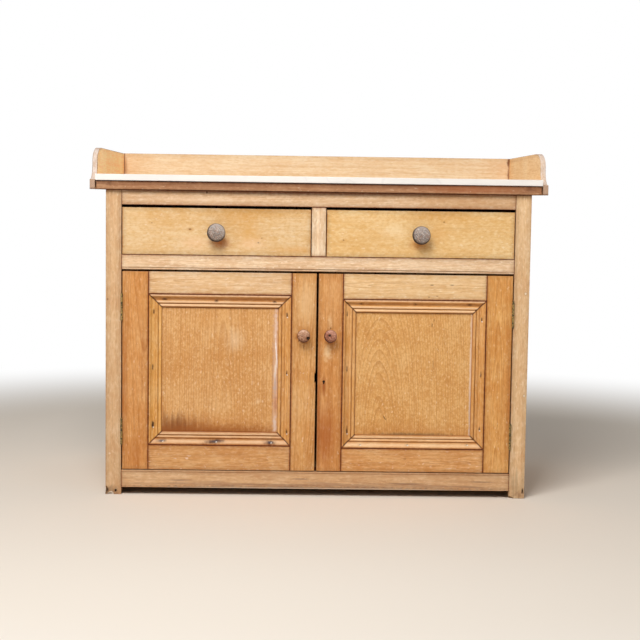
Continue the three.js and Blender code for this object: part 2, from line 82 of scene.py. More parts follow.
import bmesh
import bpy
from mathutils import Matrix, Vector, noise

Material, Mesh, Object = bpy.types.Material, bpy.types.Mesh, bpy.types.Object
Node, Socket, Tree = bpy.types.Node, bpy.types.NodeSocket, bpy.types.NodeTree
Shape, Corner = bmesh.types.BMesh, bmesh.types.BMVert
Feed = Node | Socket
Pair = tuple[float, float]
Rgb = tuple[float, float, float]

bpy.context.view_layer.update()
LOG = logging.getLogger("dry_sink")
MM = 0.001
# The front of the frame and doors, and of the sunk panels and the mouldings, in millimetres
FACE = -316.0
PANEL_FACE = FACE + 11.0
MOULDING_FACE = FACE + 5.0
BACK_BOARDS = 9
PLAIN = (1.0, 1.0, 1.0)

# A board's corners store how far each side lies, plus OPEN where no other piece meets that side
OPEN = 10.0
MARGIN = 1.0 * MM
# Places of a colour's sockets on a Mix node, which has one pair of sockets for each kind of value
MIX_A, MIX_B, MIX_OUT = 6, 7, 2
# Corners of packed triangles nearer than MERGE are one, and so are faces bent less than FLAT
MERGE, FLAT = 0.003 * MM, math.radians(0.6)
# An edge that turns more than ARRIS_TURN is an arris. A face is smooth, as part of a rounding,
# where no axis takes as much as FLAT_SHARE of its normal
ARRIS_TURN, FLAT_SHARE = math.radians(35), 0.9995


def linear(hex_colour: str) -> tuple[float, float, float, float]:
    """Turn an sRGB hex colour into the linear colour that a socket takes.

    Args:
        hex_colour: Six hex digits, such as "d9a066".

    Returns:
        Red, green and blue in linear light, and an alpha of 1.
    """
    values = [int(hex_colour[i:i + 2], 16) / 255 for i in (0, 2, 4)]
    red, green, blue = (v / 12.92 if v <= 0.04045 else ((v + 0.055) / 1.055) ** 2.4
                        for v in values)
    return (red, green, blue, 1.0)


def add(tree: Tree, kind: str, inputs: dict[Any, Any] | None = None, **settings: Any) -> Node:
    """Add a node to a tree with its settings and links.

    Args:
        tree: The tree that gets the node.
        kind: The node's type name, without ShaderNode if it begins so.
        inputs: By input name or number, a value, or a node or socket that feeds the input.
        settings: The node's other properties by name.

    Returns:
        The new node.
    """
    node = tree.nodes.new(kind if "Node" in kind else "ShaderNode" + kind)
    for name, value in settings.items():
        setattr(node, name, value)
    for key, value in (inputs or {}).items():
        if isinstance(value, Feed):
            source = value.outputs[0] if isinstance(value, Node) else value
            tree.links.new(source, node.inputs[key])
        else:
            node.inputs[key].default_value = value
    return node


def blank_material(name: str) -> tuple[Material, Tree, Socket]:
    """Start a material.

    Args:
        name: The material's name.

    Returns:
        The material, its empty tree and its Object coordinates.
    """
    material = bpy.data.materials.new(name)
    material.use_nodes = True
    tree = material.node_tree
    tree.nodes.clear()
    return material, tree, add(tree, "TexCoord").outputs["Object"]


def grains(tree: Tree, source: Feed, size: Rgb, detail: float) -> Node:
    """Make noise about zero whose grains have a size in millimetres along each axis.

    Args:
        tree: The material's tree.
        source: The point, in metres.
        size: The grains' size along each axis of the source.
        detail: How many finer layers are added.

    Returns:
        A value between about -0.5 and 0.5.
    """
    scaled = add(tree, "VectorMath", {0: source, 1: tuple(1.0 / (s * MM) for s in size)},
                 operation="MULTIPLY")
    texture = add(tree, "TexNoise", {"Vector": scaled, "Scale": 1.0, "Detail": detail})
    return add(tree, "Math", {0: texture, 1: 0.5}, operation="SUBTRACT")


def stack(tree: Tree, colour: Any, layers: Iterable[tuple[Feed, str]]) -> Socket:
    """Lay colours over a base, each with its own amount.

    Args:
        tree: The material's tree.
        colour: The base colour, as a value or a node or socket.
        layers: Pairs of an amount and the hex colour laid on with it.

    Returns:
        The finished colour.
    """
    for amount, over in layers:
        colour = add(tree, "Mix", {0: amount, MIX_A: colour, MIX_B: linear(over)},
                     data_type="RGBA").outputs[MIX_OUT]
    return colour


def fill_ramp(ramp: Node, stops: Iterable[Pair]) -> None:
    """Set a colour ramp to grey stops.

    Args:
        ramp: The ramp's node.
        stops: For each stop its place and its level.
    """
    elements = ramp.color_ramp.elements
    elements.remove(elements[-1])
    for number, (position, level) in enumerate(stops):
        stop = elements.new(position) if number else elements[0]
        stop.position = position
        stop.color = (level, level, level, 1.0)


def smooth_points(points: Sequence[Pair], steps: int) -> list[Pair]:
    """Round an outline off with a Catmull-Rom curve through its points.

    Args:
        points: The outline's points in order.
        steps: How many stretches each side is cut into.

    Returns:
        The finer outline, with the first and last points kept.
    """
    result: list[Pair] = []
    for i in range(len(points) - 1):
        p1, p2 = Vector(points[i]), Vector(points[i + 1])
        p0 = Vector(points[i - 1]) if i else p1
        p3 = Vector(points[i + 2]) if i + 2 < len(points) else p2
        for step in range(steps):
            t = step / steps
            spot = 0.5 * (2 * p1 + (p2 - p0) * t + (2 * p0 - 5 * p1 + 4 * p2 - p3) * t * t
                          + (3 * p1 - p0 - 3 * p2 + p3) * t ** 3)
            result.append((spot.x, spot.y))
    return result + [tuple(points[-1])]


class Way(Enum):
    """An axis of the frame, with its number."""

    X = 0
    Y = 1
    Z = 2


@dataclass(frozen=True)
class Mark:
    """A knot, stain, scuff or worn patch at a place on the object, in millimetres.

    Its middle is (x, y, z), wide and tall are its half sizes, deep is how far it reaches into
    the wood, fade is the share of the size over which it dies away, and turn is in degrees.
    """

    x: float
    z: float
    wide: float
    tall: float
    colour: str
    strength: float
    fade: float = 0.7
    ragged: float = 0.5
    turn: float = 0.0
    y: float = FACE
    deep: float = 6.0
    fibrous: bool = False

    def amount(self, tree: Tree, place: Socket, rough: Feed) -> Node:
        """Build the nodes that say how strongly the mark shows at each point.

        Args:
            tree: The material's tree.
            place: The point on the object, in metres.
            rough: Noise about zero that makes the outline uneven.

        Returns:
            A value from 0 to the mark's strength.
        """
        local = add(tree, "Mapping", {
            "Vector": place, "Location": (self.x * MM, self.y * MM, self.z * MM),
            "Rotation": (0.0, math.radians(self.turn), 0.0),
            "Scale": (self.wide * MM, self.deep * MM, self.tall * MM),
        }, vector_type="TEXTURE")
        reach = add(tree, "VectorMath", {0: local}, operation="LENGTH").outputs["Value"]
        uneven = add(tree, "Math", {0: rough, 1: self.ragged, 2: reach}, operation="MULTIPLY_ADD")
        return add(tree, "MapRange", {
            "Value": uneven, "From Min": 1.0 - self.fade, "From Max": 1.0,
            "To Min": self.strength, "To Max": 0.0,
        }, interpolation_type="SMOOTHSTEP")


def marked(*rows: tuple, **shared: Any) -> tuple[Mark, ...]:
    """Make marks from rows of values.

    Args:
        rows: For each mark x, z, wide, tall, colour and strength, and then, where they aren't
            the usual ones, fade, ragged and turn.
        shared: Fields that all the marks have alike.

    Returns:
        The marks.
    """
    return tuple(Mark(*row, **shared) for row in rows)


@dataclass(frozen=True)
class Knot:
    """A small knot in the face of a board: its place and radius in millimetres.

    Each of halo and pull is how far the stain round it, or the bend in the rings, reaches along
    and across the grain, as shares of the radius.
    """

    x: float
    z: float
    radius: float
    colour: str = "8a5526"
    strength: float = 0.75
    core: Pair = (1.0, 0.8)
    halo: Pair = (3.4, 1.9)
    pull: Pair = (6.0, 3.0)

    def mark(self, reach: Pair, colour: str, strength: float, fade: float, **more: float) -> Mark:
        """Make a mark round the knot's middle, with the shares of its radius that it reaches."""
        return Mark(self.x, self.z, self.radius * reach[0], self.radius * reach[1], colour,
                    strength, fade, **more)


@dataclass(frozen=True)
class Pine:
    """Slow-grown pine, stripped of old paint, brushed and waxed.

    The rings are worked out in the log that each board was sawn from, so faces show straight
    grain or pointed arches and ends show arcs. Hard late wood stands a little proud, because
    stripping and scrubbing wear the soft early wood away. Sizes are in millimetres.
    """

    name: str
    early: str
    late: str
    patch: str
    pale: str = "f6dcb8"
    grime: str = "551c00"
    band: str = "a04a0c"
    roughness: float = 0.55
    ring: float = 3.4
    ring_strength: float = 0.5
    streak_strength: float = 0.3
    fibre_strength: float = 0.3
    patch_strength: float = 0.4
    blotch_strength: float = 0.3
    pore_strength: float = 0.3
    fleck_strength: float = 0.25
    mottle_strength: float = 0.25
    spark_strength: float = 0.35
    joint_strength: float = 0.94
    band_strength: float = 0.55
    arris_strength: float = 0.5
    soft_strength: float = 0.2
    wander: float = 5.0
    pore_size: Rgb = (13.0, 3.2, 3.2)
    mottle_size: Rgb = (17.0, 7.0, 7.0)
    marks: tuple[Mark, ...] = ()
    knots: tuple[Knot, ...] = ()
    hollow_dirt_and_shade: tuple[Pair, ...] = ()
    ridge_highlights: tuple[Pair, ...] = ()

    def material(self) -> Material:
        """Build the wood's material.

        Returns:
            The material, which reads the boards' own attributes and Object coordinates.
        """
        material, tree, place = blank_material(self.name)
        grain, gain = (add(tree, "Attribute", attribute_name=name).outputs["Vector"]
                       for name in ("grain", "gain"))
        rough = grains(tree, place, (9.0, 9.0, 9.0), 3.0)
        late = self.rings(tree, grain, place)
        streak = grains(tree, grain, (420.0, 9.0, 9.0), 2.0)
        fibre = grains(tree, grain, (80.0, 2.6, 2.6), 2.0)
        patch = grains(tree, place, (150.0, 150.0, 110.0), 3.0)
        blotch = grains(tree, grain, (60.0, 26.0, 26.0), 2.0)
        # Pores, mottle and sparks are really under a millimetre across, and are drawn as coarse
        # as the photograph can show them
        pore = grains(tree, grain, self.pore_size, 1.0)
        mottle = grains(tree, grain, self.mottle_size, 3.0)
        spark = grains(tree, grain, (12.0, 6.0, 6.0), 1.0)

        layers: list[tuple[Feed, str]] = []
        for source, colour, strength, low, high in (
            (patch, self.patch, self.patch_strength, -0.04, 0.18),
            (patch, self.pale, self.patch_strength * 0.5, -0.04, -0.18),
            (blotch, self.patch, self.blotch_strength, 0.02, 0.2),
            (blotch, self.pale, self.blotch_strength * 0.6, -0.04, -0.2),
            (streak, self.late, self.streak_strength, -0.02, 0.2),
            (fibre, self.late, self.fibre_strength, 0.0, 0.2),
            (pore, self.late, self.pore_strength, 0.08, 0.22),
            (pore, self.pale, self.fleck_strength, -0.1, -0.22),
            (mottle, self.patch, self.mottle_strength * 1.3, 0.02, 0.18),
            (mottle, self.pale, self.mottle_strength, -0.02, -0.18),
            (spark, "ffecce", self.spark_strength, 0.17, 0.3),
        ):
            layers.append((add(tree, "MapRange", {
                "Value": source, "From Min": low, "From Max": high, "To Max": strength,
            }), colour))
        layers.append((late, self.late))
        wood = stack(tree, linear(self.early), layers)
        toned = add(tree, "VectorMath", {0: wood, 1: gain}, operation="MULTIPLY")

        threads = grains(tree, grain, (90.0, 7.0, 7.0), 2.0)
        over: list[tuple[Feed, str]] = []
        for knot in self.knots:
            for mark in (knot.mark(knot.halo, "b9752f", knot.strength * 0.4, 0.95),
                         knot.mark(knot.core, knot.colour, knot.strength, 0.6)):
                over.append((mark.amount(tree, place, rough), mark.colour))
        if self.hollow_dirt_and_shade:
            over += self.profile(tree)
        over += [(mark.amount(tree, place, threads if mark.fibrous else rough), mark.colour)
                 for mark in self.marks]
        over += self.edges(tree, rough)
        colour = stack(tree, toned, over)

        height = add(tree, "Math", {0: fibre, 1: 0.6, 2: late}, operation="MULTIPLY_ADD")
        bump = add(tree, "Bump", {"Strength": 0.5, "Distance": 0.25 * MM, "Height": height})
        worn = add(tree, "Math", {0: patch, 1: 0.35, 2: self.roughness}, operation="MULTIPLY_ADD")
        shader = add(tree, "BsdfPrincipled", {
            "Base Color": colour, "Roughness": worn, "Normal": bump, "IOR": 1.5,
            "Specular IOR Level": 0.25,
        })
        add(tree, "OutputMaterial", {"Surface": shader})
        return material

    def rings(self, tree: Tree, grain: Socket, place: Socket) -> Node:
        """Work out the growth rings of the log at each point.

        Args:
            tree: The material's tree.
            grain: The point in the log's frame, with X along the heart, in metres.
            place: The point on the object, in metres.

        Returns:
            How strongly late wood shows.
        """
        bend = self.wander * 2 * MM
        # A log bends over 43 cm of its length and differs every 7 cm round its heart
        scaled = add(tree, "VectorMath", {
            0: grain, 1: (1 / (430 * MM), 1 / (70 * MM), 1 / (70 * MM)),
        }, operation="MULTIPLY")
        wave = add(tree, "TexNoise", {
            "Vector": scaled, "Scale": 1.0, "Detail": 2.0, "Roughness": 0.4,
        }).outputs["Color"]
        centred = add(tree, "VectorMath", {0: wave, 1: (0.5, 0.5, 0.5)}, operation="SUBTRACT")
        bent = add(tree, "VectorMath", {0: centred, 1: (0.0, bend, bend), 2: grain},
                   operation="MULTIPLY_ADD")
        flat = add(tree, "VectorMath", {0: bent, 1: (0.0, 1.0, 1.0)}, operation="MULTIPLY")
        radius = add(tree, "VectorMath", {0: flat}, operation="LENGTH").outputs["Value"]
        for knot in self.knots:
            pull = knot.mark(knot.pull, "", 2.2 * self.ring * MM, 1.0, ragged=0.0, deep=20.0)
            radius = add(tree, "Math", {0: radius, 1: pull.amount(tree, place, radius)},
                         operation="ADD")
        count = add(tree, "Math", {0: radius, 1: self.ring * MM}, operation="DIVIDE")
        year = add(tree, "Math", {0: count}, operation="FLOOR")
        season = add(tree, "Math", {0: count}, operation="FRACT")
        luck = add(tree, "TexWhiteNoise", {"W": year}, noise_dimensions="1D").outputs["Value"]
        ramp = add(tree, "ValToRGB", {"Fac": season})
        # Each ring darkens slowly into its late wood and ends sharply
        fill_ramp(ramp, ((0.0, 0.0), (0.4, 0.1), (0.75, 0.5), (0.92, 1.0), (1.0, 0.0)))
        vary = add(tree, "MapRange", {
            "Value": luck, "To Min": 0.35 * self.ring_strength, "To Max": self.ring_strength,
        })
        return add(tree, "Math", {0: ramp, 1: vary}, operation="MULTIPLY")

    def profile(self, tree: Tree) -> list[tuple[Feed, str]]:
        """Paint highlights on a moulding's ridges, dirt and painted shade in its hollows, and dirt
        in its mitres.

        Args:
            tree: The material's tree.

        Returns:
            An amount and a colour for the painted highlights, for the dirt and painted shade, and
            for the mitres.
        """
        across, end = (add(tree, "Attribute", attribute_name=name).outputs["Fac"]
                       for name in ("across", "mitre"))
        layers: list[tuple[Feed, str]] = []
        # ffe2bd paints highlights where the ridges face the light, and 843e08 paints dirt and
        # shade into the hollows
        for stops, tone in ((self.ridge_highlights, "ffe2bd"), (self.hollow_dirt_and_shade, "843e08")):
            if stops:
                ramp = add(tree, "ValToRGB", {"Fac": across})
                fill_ramp(ramp, stops)
                layers.append((ramp, tone))
        cut = add(tree, "MapRange", {
            "Value": end, "From Min": 0.6 * MM, "From Max": 2.2 * MM, "To Min": 0.9, "To Max": 0.0,
        })
        return layers + [(cut, self.grime)]

    def edges(self, tree: Tree, rough: Feed) -> list[tuple[Feed, str]]:
        """Darken a board towards its arrises and joints, where old wax and dirt have stayed.

        Args:
            tree: The material's tree.
            rough: Noise about zero that makes the line uneven.

        Returns:
            An amount and a colour for the warm band beside a joint, and for the dark line.
        """
        sides, nears = [], []
        for name in ("to_low", "to_high"):
            side = add(tree, "Attribute", attribute_name=name).outputs["Vector"]
            whole = add(tree, "VectorMath", {0: side, 1: (OPEN,) * 3}, operation="MODULO")
            for found, source in ((sides, side), (nears, whole)):
                found.append(add(tree, "VectorMath", {0: source, 1: (MARGIN,) * 3},
                                 operation="SUBTRACT"))
        lines = []
        for pair, middling in ((sides, False), (nears, True)):
            near = add(tree, "VectorMath", {0: pair[0], 1: pair[1]}, operation="MINIMUM")
            x, y, z = add(tree, "SeparateXYZ", {0: near}).outputs
            low = add(tree, "Math", {0: x, 1: y}, operation="MINIMUM")
            high = add(tree, "Math", {0: x, 1: y}, operation="MAXIMUM")
            third = add(tree, "Math", {0: high if middling else low, 1: z}, operation="MINIMUM")
            lines.append(add(tree, "Math", {0: low, 1: third}, operation="MAXIMUM")
                         if middling else third)
        joint, arris = lines
        amounts = []
        for source, shake, start, stop, strength in (
            (joint, 5.0, 0.6, 6.5, self.band_strength),
            (joint, 1.4, 0.9, 2.3, self.joint_strength),
            (arris, 2.4, 0.2, 1.6, self.arris_strength),
            (arris, 9.0, 0.0, 16.0, self.soft_strength),
        ):
            uneven = add(tree, "Math", {0: rough, 1: shake * MM, 2: source},
                         operation="MULTIPLY_ADD")
            amounts.append(add(tree, "MapRange", {
                "Value": uneven, "From Min": start * MM, "From Max": stop * MM,
                "To Min": strength, "To Max": 0.0,
            }))
        band, most, *others = amounts
        for other in others:
            most = add(tree, "Math", {0: most, 1: other}, operation="MAXIMUM")
        return [(band, self.band), (most, self.grime)]


@dataclass(frozen=True)
class Marble:
    """Honed white marble with faint grey veins: close to white and softly glossy."""

    name: str = "honed_white_marble"
    white: str = "f2ede7"
    vein: str = "cecac8"
    cloud: str = "e3dfda"

    def material(self) -> Material:
        """Build the marble's material.

        Returns:
            The material, which reads Object coordinates.
        """
        material, tree, place = blank_material(self.name)
        turned = add(tree, "Mapping", {"Vector": place, "Rotation": (0.3, 0.2, 0.6)})
        # Clouds are about 14 cm across and veins about 30 cm apart
        cloud = add(tree, "TexNoise", {"Vector": turned, "Scale": 7.0, "Detail": 5.0})
        vein = add(tree, "TexNoise", {
            "Vector": turned, "Scale": 3.2, "Detail": 6.0, "Distortion": 1.4,
        })
        off = add(tree, "Math", {0: vein, 1: 0.5}, operation="SUBTRACT")
        ridge = add(tree, "Math", {0: off}, operation="ABSOLUTE")
        thin = add(tree, "MapRange", {
            "Value": ridge, "From Min": 0.0, "From Max": 0.02, "To Min": 0.2, "To Max": 0.0,
        }, interpolation_type="SMOOTHSTEP")
        soft = add(tree, "MapRange", {
            "Value": cloud, "From Min": 0.4, "From Max": 0.7, "To Max": 0.6,
        })
        colour = stack(tree, linear(self.white), ((soft, self.cloud), (thin, self.vein)))
        shader = add(tree, "BsdfPrincipled", {
            "Base Color": colour, "Roughness": 0.32, "IOR": 1.5,
        })
        add(tree, "OutputMaterial", {"Surface": shader})
        return material


@dataclass(frozen=True)
class Turned:
    """A pine knob turned on the lathe and rubbed by hands.

    Its wax has worn to a mottled grey or pink with fine scratches. Dirt and painted shade darken
    its rim, most on the side that shade points to. Its face is painted lighter above and darker
    below, as light from above falls, and a painted highlight lies on the lit side of the rim. The
    knob's own attribute "turned" holds its radius share and its place across the face.
    """

    name: str
    body: str
    dark: str
    pale: str
    warm: str
    cool: str
    rim: float = 0.8
    light_slope: float = 0.3
    shade: Pair = (-0.6, -0.8)
    roughness: float = 0.5
    marks: tuple[Mark, ...] = ()

    def material(self) -> Material:
        """Build the knob's material.

        Returns:
            The material, which reads the knob's own attribute and Object coordinates.
        """
        material, tree, place = blank_material(self.name)
        turned = add(tree, "Attribute", attribute_name="turned").outputs["Vector"]
        radius = add(tree, "SeparateXYZ", {0: turned})
        # lean grows towards the side where painted shade falls; shaded moves the rim's painted
        # shade there, and lit puts a painted highlight on the other side
        lean = add(tree, "VectorMath", {0: turned, 1: (0.0, *self.shade)},
                   operation="DOT_PRODUCT").outputs["Value"]
        shaded, lit = (add(tree, "Math", {0: lean, 1: share, 2: radius}, operation="MULTIPLY_ADD")
                       for share in (0.16, -0.16))
        tilt = add(tree, "Mapping", {
            "Vector": place, "Rotation": (0.0, 0.7, 0.0), "Scale": (9 * MM, 6 * MM, 1.6 * MM),
        }, vector_type="TEXTURE")
        # Tints are about 7 mm across, blotches 4 mm and scratches as long as the Mapping says
        tint, blotch, scratch = (
            add(tree, "TexNoise", {"Vector": source, "Scale": scale, "Detail": 2.0})
            for source, scale in ((place, 150.0), (place, 260.0), (tilt, 1.0)))
        rough = add(tree, "Math", {0: blotch, 1: 0.5}, operation="SUBTRACT")
        layers: list[tuple[Feed, str]] = []
        # Tint, blotches and scratches are the wood's own; lean paints the face lighter above and
        # darker below, lit paints a highlight on the rim, and radius and shaded darken the rim
        # with dirt and painted shade
        for source, colour, low, high, most in (
            (tint, self.warm, 0.5, 0.66, 0.7), (tint, self.cool, 0.5, 0.34, 0.7),
            (blotch, self.dark, 0.54, 0.7, 0.5), (blotch, self.pale, 0.48, 0.34, 0.6),
            (scratch, self.pale, 0.58, 0.68, 0.7), (lean, self.pale, 0.1, -0.8, self.light_slope),
            (lean, self.dark, 0.3, 1.0, self.light_slope), (lit, self.pale, 0.92, 1.06, 0.6),
            (radius, self.dark, 0.88, 0.98, 0.7 * self.rim),
            (shaded, self.dark, 0.84, 1.02, self.rim),
        ):
            layers.append((add(tree, "MapRange", {
                "Value": source, "From Min": low, "From Max": high, "To Max": most,
            }), colour))
        layers += [(mark.amount(tree, place, rough), mark.colour) for mark in self.marks]
        bump = add(tree, "Bump", {"Strength": 0.5, "Distance": 0.25 * MM, "Height": scratch})
        shader = add(tree, "BsdfPrincipled", {
            "Base Color": stack(tree, linear(self.body), layers), "Normal": bump,
            "Roughness": self.roughness, "IOR": 1.5, "Specular IOR Level": 0.45,
        })
        add(tree, "OutputMaterial", {"Surface": shader})
        return material


@dataclass(frozen=True)
class OldMetal:
    """Old metal that has gone dull: bright only where it rubs, dark or rusty elsewhere.

    grain is the size of the rusty patches in millimetres, and cover the share that they take.
    """

    name: str
    metal: str
    tarnish: str
    grain: float
    roughness: float = 0.45
    cover: float = 0.55

    def material(self) -> Material:
        """Build the metal's material.

        Returns:
            The material, which reads Object coordinates.
        """
        material, tree, place = blank_material(self.name)
        patch = add(tree, "TexNoise", {
            "Vector": place, "Scale": 1 / (self.grain * MM), "Detail": 4.0,
        })
        low, high = (level - 0.4 * self.cover for level in (0.68, 0.82))
        amount = add(tree, "MapRange", {"Value": patch, "From Min": low, "From Max": high})
        metallic = add(tree, "MapRange", {"Value": amount, "To Min": 1.0, "To Max": 0.25})
        rough = add(tree, "MapRange", {
            "Value": amount, "To Min": self.roughness, "To Max": min(1.0, self.roughness + 0.3),
        })
        bump = add(tree, "Bump", {"Strength": 0.5, "Distance": 0.12 * MM, "Height": patch})
        shader = add(tree, "BsdfPrincipled", {
            "Base Color": stack(tree, linear(self.metal), ((amount, self.tarnish),)),
            "Metallic": metallic, "Roughness": rough, "Normal": bump,
        })
        add(tree, "OutputMaterial", {"Surface": shader})
        return material


Finish = Pine | Marble | Turned | OldMetal


def linked(name: str, data: Any) -> Object:
    """Make an object and link it into the scene.

    Args:
        name: The object's name.
        data: Its mesh, light or camera.

    Returns:
        The object.
    """
    made = bpy.data.objects.new(name, data)
    bpy.context.scene.collection.objects.link(made)
    return made


def as_mesh(shape: Shape, name: str) -> Mesh:
    """Turn a shape into a mesh, and free the shape.

    Args:
        shape: The shape.
        name: The mesh's name.

    Returns:
        The mesh.
    """
    mesh = bpy.data.meshes.new(name)
    shape.to_mesh(mesh)
    shape.free()
    return mesh


def smoothed(mesh: Mesh, degrees: float) -> Mesh:
    """Shade a mesh smooth, apart from its sharper edges.

    Args:
        mesh: The mesh.
        degrees: The turn from which an edge stays sharp.

    Returns:
        The same mesh.
    """
    for face in mesh.polygons:
        face.use_smooth = True
    mesh.set_sharp_from_angle(angle=math.radians(degrees))
    return mesh


def evaluated(obj: Object) -> Mesh:
    """Turn an object with its modifiers into a plain mesh, and delete the object.

    Args:
        obj: The object.

    Returns:
        The mesh.
    """
    graph = bpy.context.evaluated_depsgraph_get()
    mesh = bpy.data.meshes.new_from_object(obj.evaluated_get(graph))
    bpy.data.objects.remove(obj)
    return mesh


def bridged(shape: Shape, rings: Sequence[Sequence[Corner]], capped: bool) -> Shape:
    """Join rings of corners with faces, each ring to the next.

    Args:
        shape: The shape that holds the corners.
        rings: The closed rings in order, where a ring of one corner is a point.
        capped: Whether the first and last rings are filled.

    Returns:
        The same shape, with its faces looking outwards.
    """
    for lower, upper in zip(rings, rings[1:]):
        count = max(len(lower), len(upper))
        for i in range(count):
            j = (i + 1) % count
            corners = (lower[i % len(lower)], lower[j % len(lower)],
                       upper[j % len(upper)], upper[i % len(upper)])
            shape.faces.new(list(dict.fromkeys(corners)))
    if capped:
        shape.faces.new(rings[0])
        shape.faces.new(rings[-1][::-1])
    bmesh.ops.recalc_face_normals(shape, faces=shape.faces)
    return shape


def copied(node: str) -> Shape:
    """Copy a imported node's triangles into one joined shape with flat faces made whole.

    Args:
        node: The node's name.

    Returns:
        The new shape, which the caller frees.
    """
    shape = bmesh.new()
    shape.from_mesh(frame["nodes"][node].data)
    bmesh.ops.remove_doubles(shape, verts=shape.verts, dist=MERGE)
    bmesh.ops.dissolve_limit(shape, angle_limit=FLAT, verts=shape.verts, edges=shape.edges)
    return shape


def carved(node: str, cutters: Sequence[Shape]) -> Shape:
    """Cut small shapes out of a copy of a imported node.

    Args:
        node: The node's name.
        cutters: Closed shapes, in place, which are freed.

    Returns:
        The cut shape, which the caller frees.
    """
    blanks = []
    for shape in (copied(node), *cutters):
        mesh = as_mesh(shape, node + "_carving")
        blanks.append(linked(mesh.name, mesh))
    for cutter in blanks[1:]:
        cut = blanks[0].modifiers.new("cut", "BOOLEAN")
        cut.operation = "DIFFERENCE"
        cut.solver = "EXACT"
        cut.object = cutter
    result = bmesh.new()
    result.from_mesh(evaluated(blanks[0]))
    for cutter in blanks[1:]:
        bpy.data.objects.remove(cutter)
    return result


def chip(middle: Rgb, size: Rgb, seed: float) -> Shape:
    """Shape a ragged lump that a chip is broken out with.

    Args:
        middle: The chip's middle, in millimetres.
        size: Its half sizes, in millimetres.
        seed: Chooses how ragged it is, the same way each time.

    Returns:
        The closed lump, which the caller frees.
    """
    shape = bmesh.new()
    bmesh.ops.create_icosphere(shape, subdivisions=3, radius=1.0)
    for vert in shape.verts:
        ragged = 1.0 + 0.35 * noise.noise(vert.co * 1.8 + Vector((seed, 0.0, 0.0)))
        vert.co = Vector([(middle[i] + vert.co[i] * ragged * size[i]) * MM for i in range(3)])
    return shape


def groove(low_x: float, high_x: float, z: float, half: float, depth: float) -> Shape:
    """Shape the long three-sided bar that a scratched line is cut into the face with.

    Args:
        low_x: Where the line starts, in millimetres.
        high_x: Where it ends.
        z: Its height.
        half: Half its width.
        depth: Its depth.

    Returns:
        The closed bar, which the caller frees.
    """
    shape = bmesh.new()
    section = ((FACE - 1.0, z + 2 * half), (FACE + depth, z), (FACE - 1.0, z - 2 * half))
    rows = [[shape.verts.new((x * MM, y * MM, up * MM)) for y, up in section]
            for x in (low_x, high_x)]
    return bridged(shape, rows, True)


